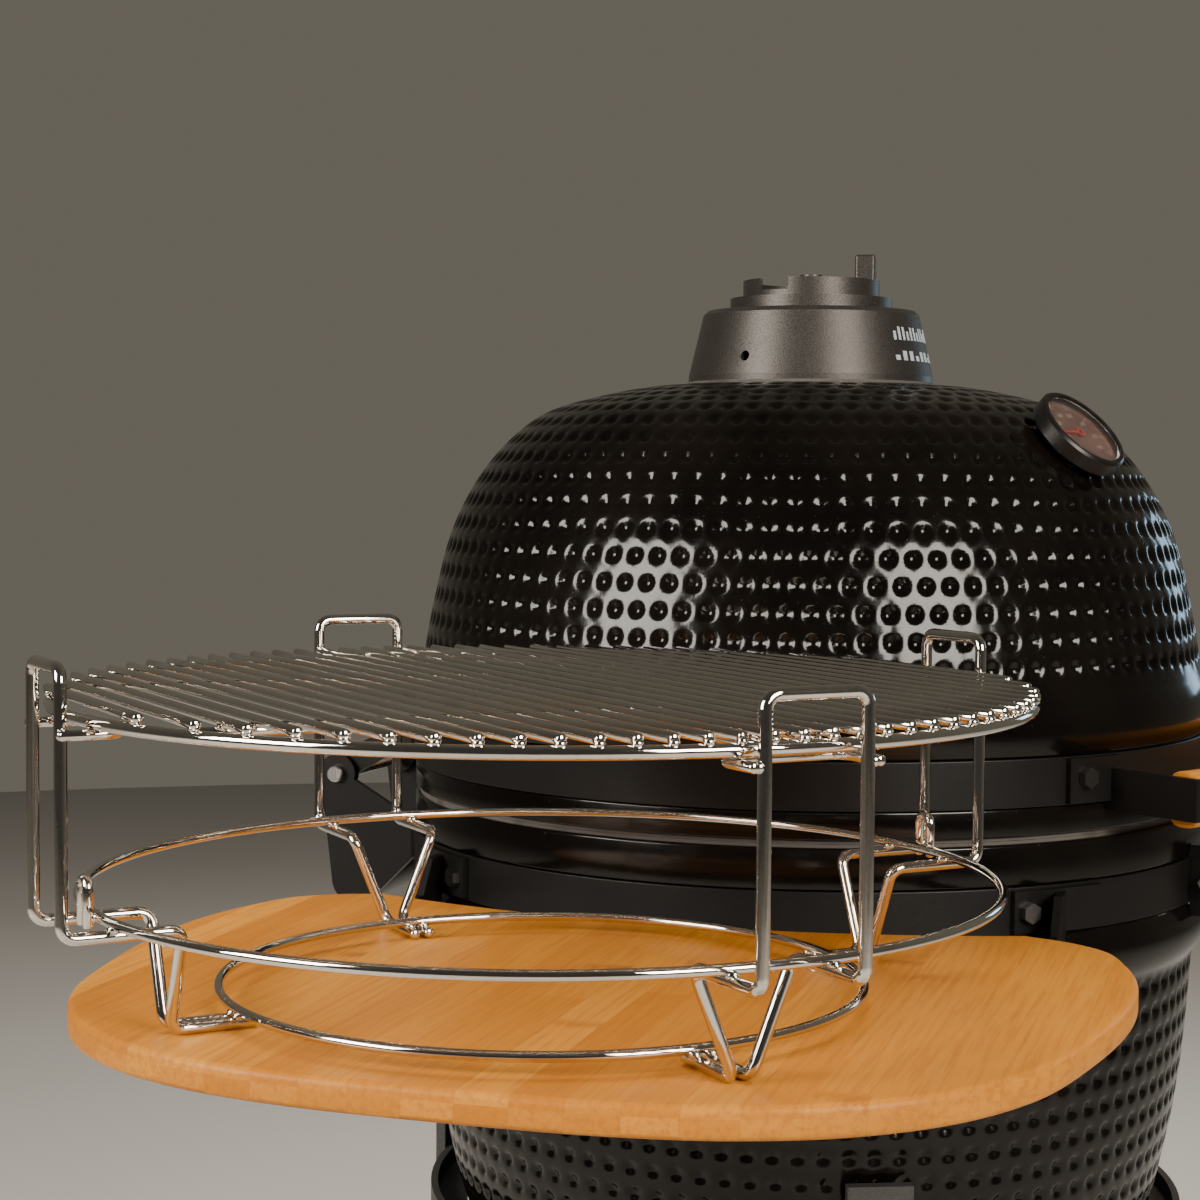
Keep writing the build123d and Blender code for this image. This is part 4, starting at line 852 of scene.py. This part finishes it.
def dial_numbers():
    """Small generic numbers round the dial, as a text made into a mesh whose seams are joined."""
    parts = []
    for k, angle in enumerate(np.linspace(SCALE_START, SCALE_END, 8)):
        curve = bpy.data.curves.new("number", "FONT")
        curve.body = str(k * 50 + 50)
        curve.size = NUMBER_SIZE
        curve.extrude = 0.05
        curve.align_x = "CENTER"
        curve.align_y = "CENTER"
        holder = bpy.data.objects.new("number", curve)
        mesh = bpy.data.meshes.new_from_object(holder)
        joined = bmesh.new()
        joined.from_mesh(mesh)
        bmesh.ops.remove_doubles(joined, verts=joined.verts, dist=0.0001)
        bmesh.ops.recalc_face_normals(joined, faces=joined.faces)
        joined.to_mesh(mesh)
        joined.free()
        flat = np.empty(len(mesh.vertices) * 3)
        mesh.vertices.foreach_get("co", flat)
        flat = flat.reshape(-1, 3)
        x, y = NUMBER_R * math.cos(angle) + flat[:, 0], NUMBER_R * math.sin(angle) + flat[:, 1]
        points = on_dial(np.hypot(x, y), np.arctan2(y, x), flat[:, 2] + INK)
        blocks = [np.array([list(p.vertices)]) for p in mesh.polygons]
        parts.append((points, blocks, [np.zeros(len(b)) for b in blocks]))
        bpy.data.objects.remove(holder)
    return parts


fine = strokes(np.linspace(SCALE_START, SCALE_END, 57), 24.4, SCALE_R, 0.45, 0.08, on_dial)
coarse = strokes(np.linspace(SCALE_START, SCALE_END, 8), 21.8, SCALE_R, 0.85, 0.10, on_dial)
printed = mesh_piece("dial_scale", fine + coarse + dial_numbers(), smooth=False)
place(printed, "lid", "dial_face", [DIAL_INK])
hot = zone(27.1, 28.4, SCALE_END, -SCALE_END, INK)
place(mesh_piece("dial_zone", hot, smooth=False), "lid", "needle_red", [DIAL_ZONE])

# %% [markdown]
# ## Wheels
# Each caster wheel is a moulded tyre on a nylon hub. It is a turned shape about the axle: a crowned
# tread with two grooves, a shoulder, a dished side wall and a hub boss.

# %% Wheels
def wheel(number):
    """A turned wheel: the profile's radius and place along the axle, carried once round the axle."""
    low, high = (np.array(c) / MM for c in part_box(f"caster_wheel_{number}"))
    middle = (low + high) / 2
    half = [(33.2, 10.6), (34.8, 8.4), (35.0, 5.2), (33.9, 4.8), (33.9, 3.9), (35.0, 3.5), (35.0, 0)]
    tread = [(r, -x) for r, x in half] + [(r, x) for r, x in half[-2::-1]]
    face = [(30.5, 11), (27, 9.4), (25.5, 9.4), (24.6, 10.2), (20, 10.2), (18, 8.6), (12, 8.6), (10.4, 11),
            (4.05, 11)]
    loop = tread + face + [(r, -x) for r, x in face[::-1]]
    rings = [ring(r, x, 72) for r, x in loop]
    rings = [np.stack([p[:, 2], p[:, 0], p[:, 1]], 1) + middle for p in rings]
    kinds = [1 if len(tread) + 2 <= i < len(loop) - 4 else 0 for i in range(len(loop))]
    return mesh_piece(f"wheel_{number}", stack(rings, closed=True, finish=kinds))


HUB = spotted("hub_nylon", (0.10, 0.10, 0.10), (0.16, 0.155, 0.15), 0.46, 50, 0.0001)
for number in (1, 2, 3, 4):
    place(wheel(number), f"wheel_{number}", "wheel_rubber", [RUBBER, HUB], f"caster_wheel_{number}")

# %% [markdown]
# ## Finishes of the pieces that stay
# The remaining pieces are already right in shape. Each takes its finish by the slot that the record
# gives it, so nothing is left with the plain colour that it came in with.

# %% Finish the other nodes
by_slot = {
    "black_glaze": GLAZE, "fired_clay": CLAY, "black_steel": BLACK_STEEL, "cart_steel": CART_STEEL,
    "felt": felt(), "cast_iron": CAST_IRON, "vent_cast": VENT_CAST, "stainless": STAINLESS,
    "bolt_steel": BOLT_STEEL, "polished_wire": WIRE, "bamboo": BAMBOO, "gauge_rim": GAUGE_RIM,
    "dial_face": DIAL, "needle_red": NEEDLE_RED, "clear_glass": GLASS, "zinc_steel": ZINC,
    "wheel_rubber": RUBBER,
}
slot_of = {part["node"]: part["material_slot"] for part in frame["record"]["subparts"]}
for name, node in nodes.items():
    finish = by_slot[slot_of[name]]
    node.data.materials.clear()
    node.data.materials.append(finish)
print("finished", len(nodes), "nodes in", len(set(slot_of.values())), "finishes")

# %% [markdown]
# ## Room, lamps and camera
# A glossy black shell shows mostly what is round it, so the lamps are large soft squares, seen in the
# glaze as bright panes. One more stands high behind the grill for the shelves and is left out of mirrors,
# and a faint cool one lights the right edge. The floor is plain and pale. Polished wire shows the whole
# room, so the room is a soft gradient: dark on the camera's side, which gives the wires their dark cores,
# and taupe beyond the grill. The camera stands beside the left shelf.

# %% Floor
def floor_disc(reach=6000.0, drop=0.3):
    """A flat disc: rings of growing radius at one height, closed by a point in the middle."""
    rings = [ring(r, -drop, 96) for r in (reach, reach / 2, reach / 6)]
    return mesh_piece("studio_floor", stack([*rings, np.array([[0, 0, -drop]])]))


paper = Finish("paper", Specular_IOR_Level=0.2)
pale = paper.mix(paper.noise(1.4, 3), (0.44, 0.42, 0.39), (0.50, 0.48, 0.45))
floor = floor_disc()
floor.data.materials.append(paper.wear(pale, paper.noise(5, 2) * 0.1 + 0.8))


# %% Lamps and room
def lamp(name, direction, distance, size, power, colour, target=(0, 0, 0.9)):
    """A square lamp at a distance along a direction from the target, facing it."""
    light = bpy.data.lights.new(name, "AREA")
    light.shape = "RECTANGLE"
    light.size, light.size_y = size
    light.energy = power
    light.color = colour
    holder = bpy.data.objects.new(name, light)
    holder.location = Vector(target) + Vector(direction).normalized() * distance
    holder.rotation_euler = Vector(direction).to_track_quat("Z", "Y").to_euler()
    bpy.context.scene.collection.objects.link(holder)
    return holder


lamp("pane_left", (-0.750, 0.577, 0.324), 3.0, (1.3, 1.3), 125, (1.0, 0.93, 0.84))
lamp("pane_right", (-0.626, -0.687, 0.343), 3.0, (1.3, 1.3), 125, (1.0, 0.92, 0.82))
above = lamp("pane_high", (0.55, 0.1, 0.83), 2.4, (1.6, 1.2), 98, (1.0, 0.95, 0.88))
above.visible_glossy = False
lamp("pane_cool", (0.87, -0.46, 0.13), 3.0, (0.6, 0.6), 4, (0.50, 0.76, 1.0))

world = bpy.data.worlds.new("studio")
world.use_nodes = True
room = world.node_tree.nodes
side_of = room.new("ShaderNodeTexCoord").outputs["Generated"]
split, shade = room.new("ShaderNodeSeparateXYZ"), room.new("ShaderNodeValToRGB")
shade.color_ramp.elements[0].position, shade.color_ramp.elements[1].position = 0.0, 1.0
shade.color_ramp.elements[0].color = (0.050, 0.047, 0.042, 1)
shade.color_ramp.elements[1].color = (0.138, 0.126, 0.101, 1)
spread = room.new("ShaderNodeMapRange")
spread.inputs["From Min"].default_value, spread.inputs["From Max"].default_value = -0.6, 0.7
for source, target in (
    (side_of, split.inputs[0]),
    (split.outputs["X"], spread.inputs["Value"]),
    (spread.outputs[0], shade.inputs[0]),
    (shade.outputs[0], room["Background"].inputs["Color"]),
):
    world.node_tree.links.new(source, target)
bpy.context.scene.world = world

# %% Camera
heading = Vector((0.9542, 0.2990, 0)).normalized()
pitch, roll = math.radians(-3.13), 0.0075
ahead = heading * math.cos(pitch) + Vector((0, 0, math.sin(pitch)))
lens = bpy.data.cameras.new("camera")
lens.lens, lens.sensor_width = 70.0, 36.0
lens.clip_start, lens.clip_end = 0.05, 60
camera = bpy.data.objects.new("camera", lens)
turn = ahead.to_track_quat("-Z", "Y").to_matrix()
spin = turn @ Matrix.Rotation(roll, 3, "Z")
camera.matrix_world = spin.to_4x4()
camera.location = (-1.627, -0.355, 1.019)
bpy.context.scene.collection.objects.link(camera)
bpy.context.scene.camera = camera
print("camera at", tuple(round(v, 3) for v in camera.location))
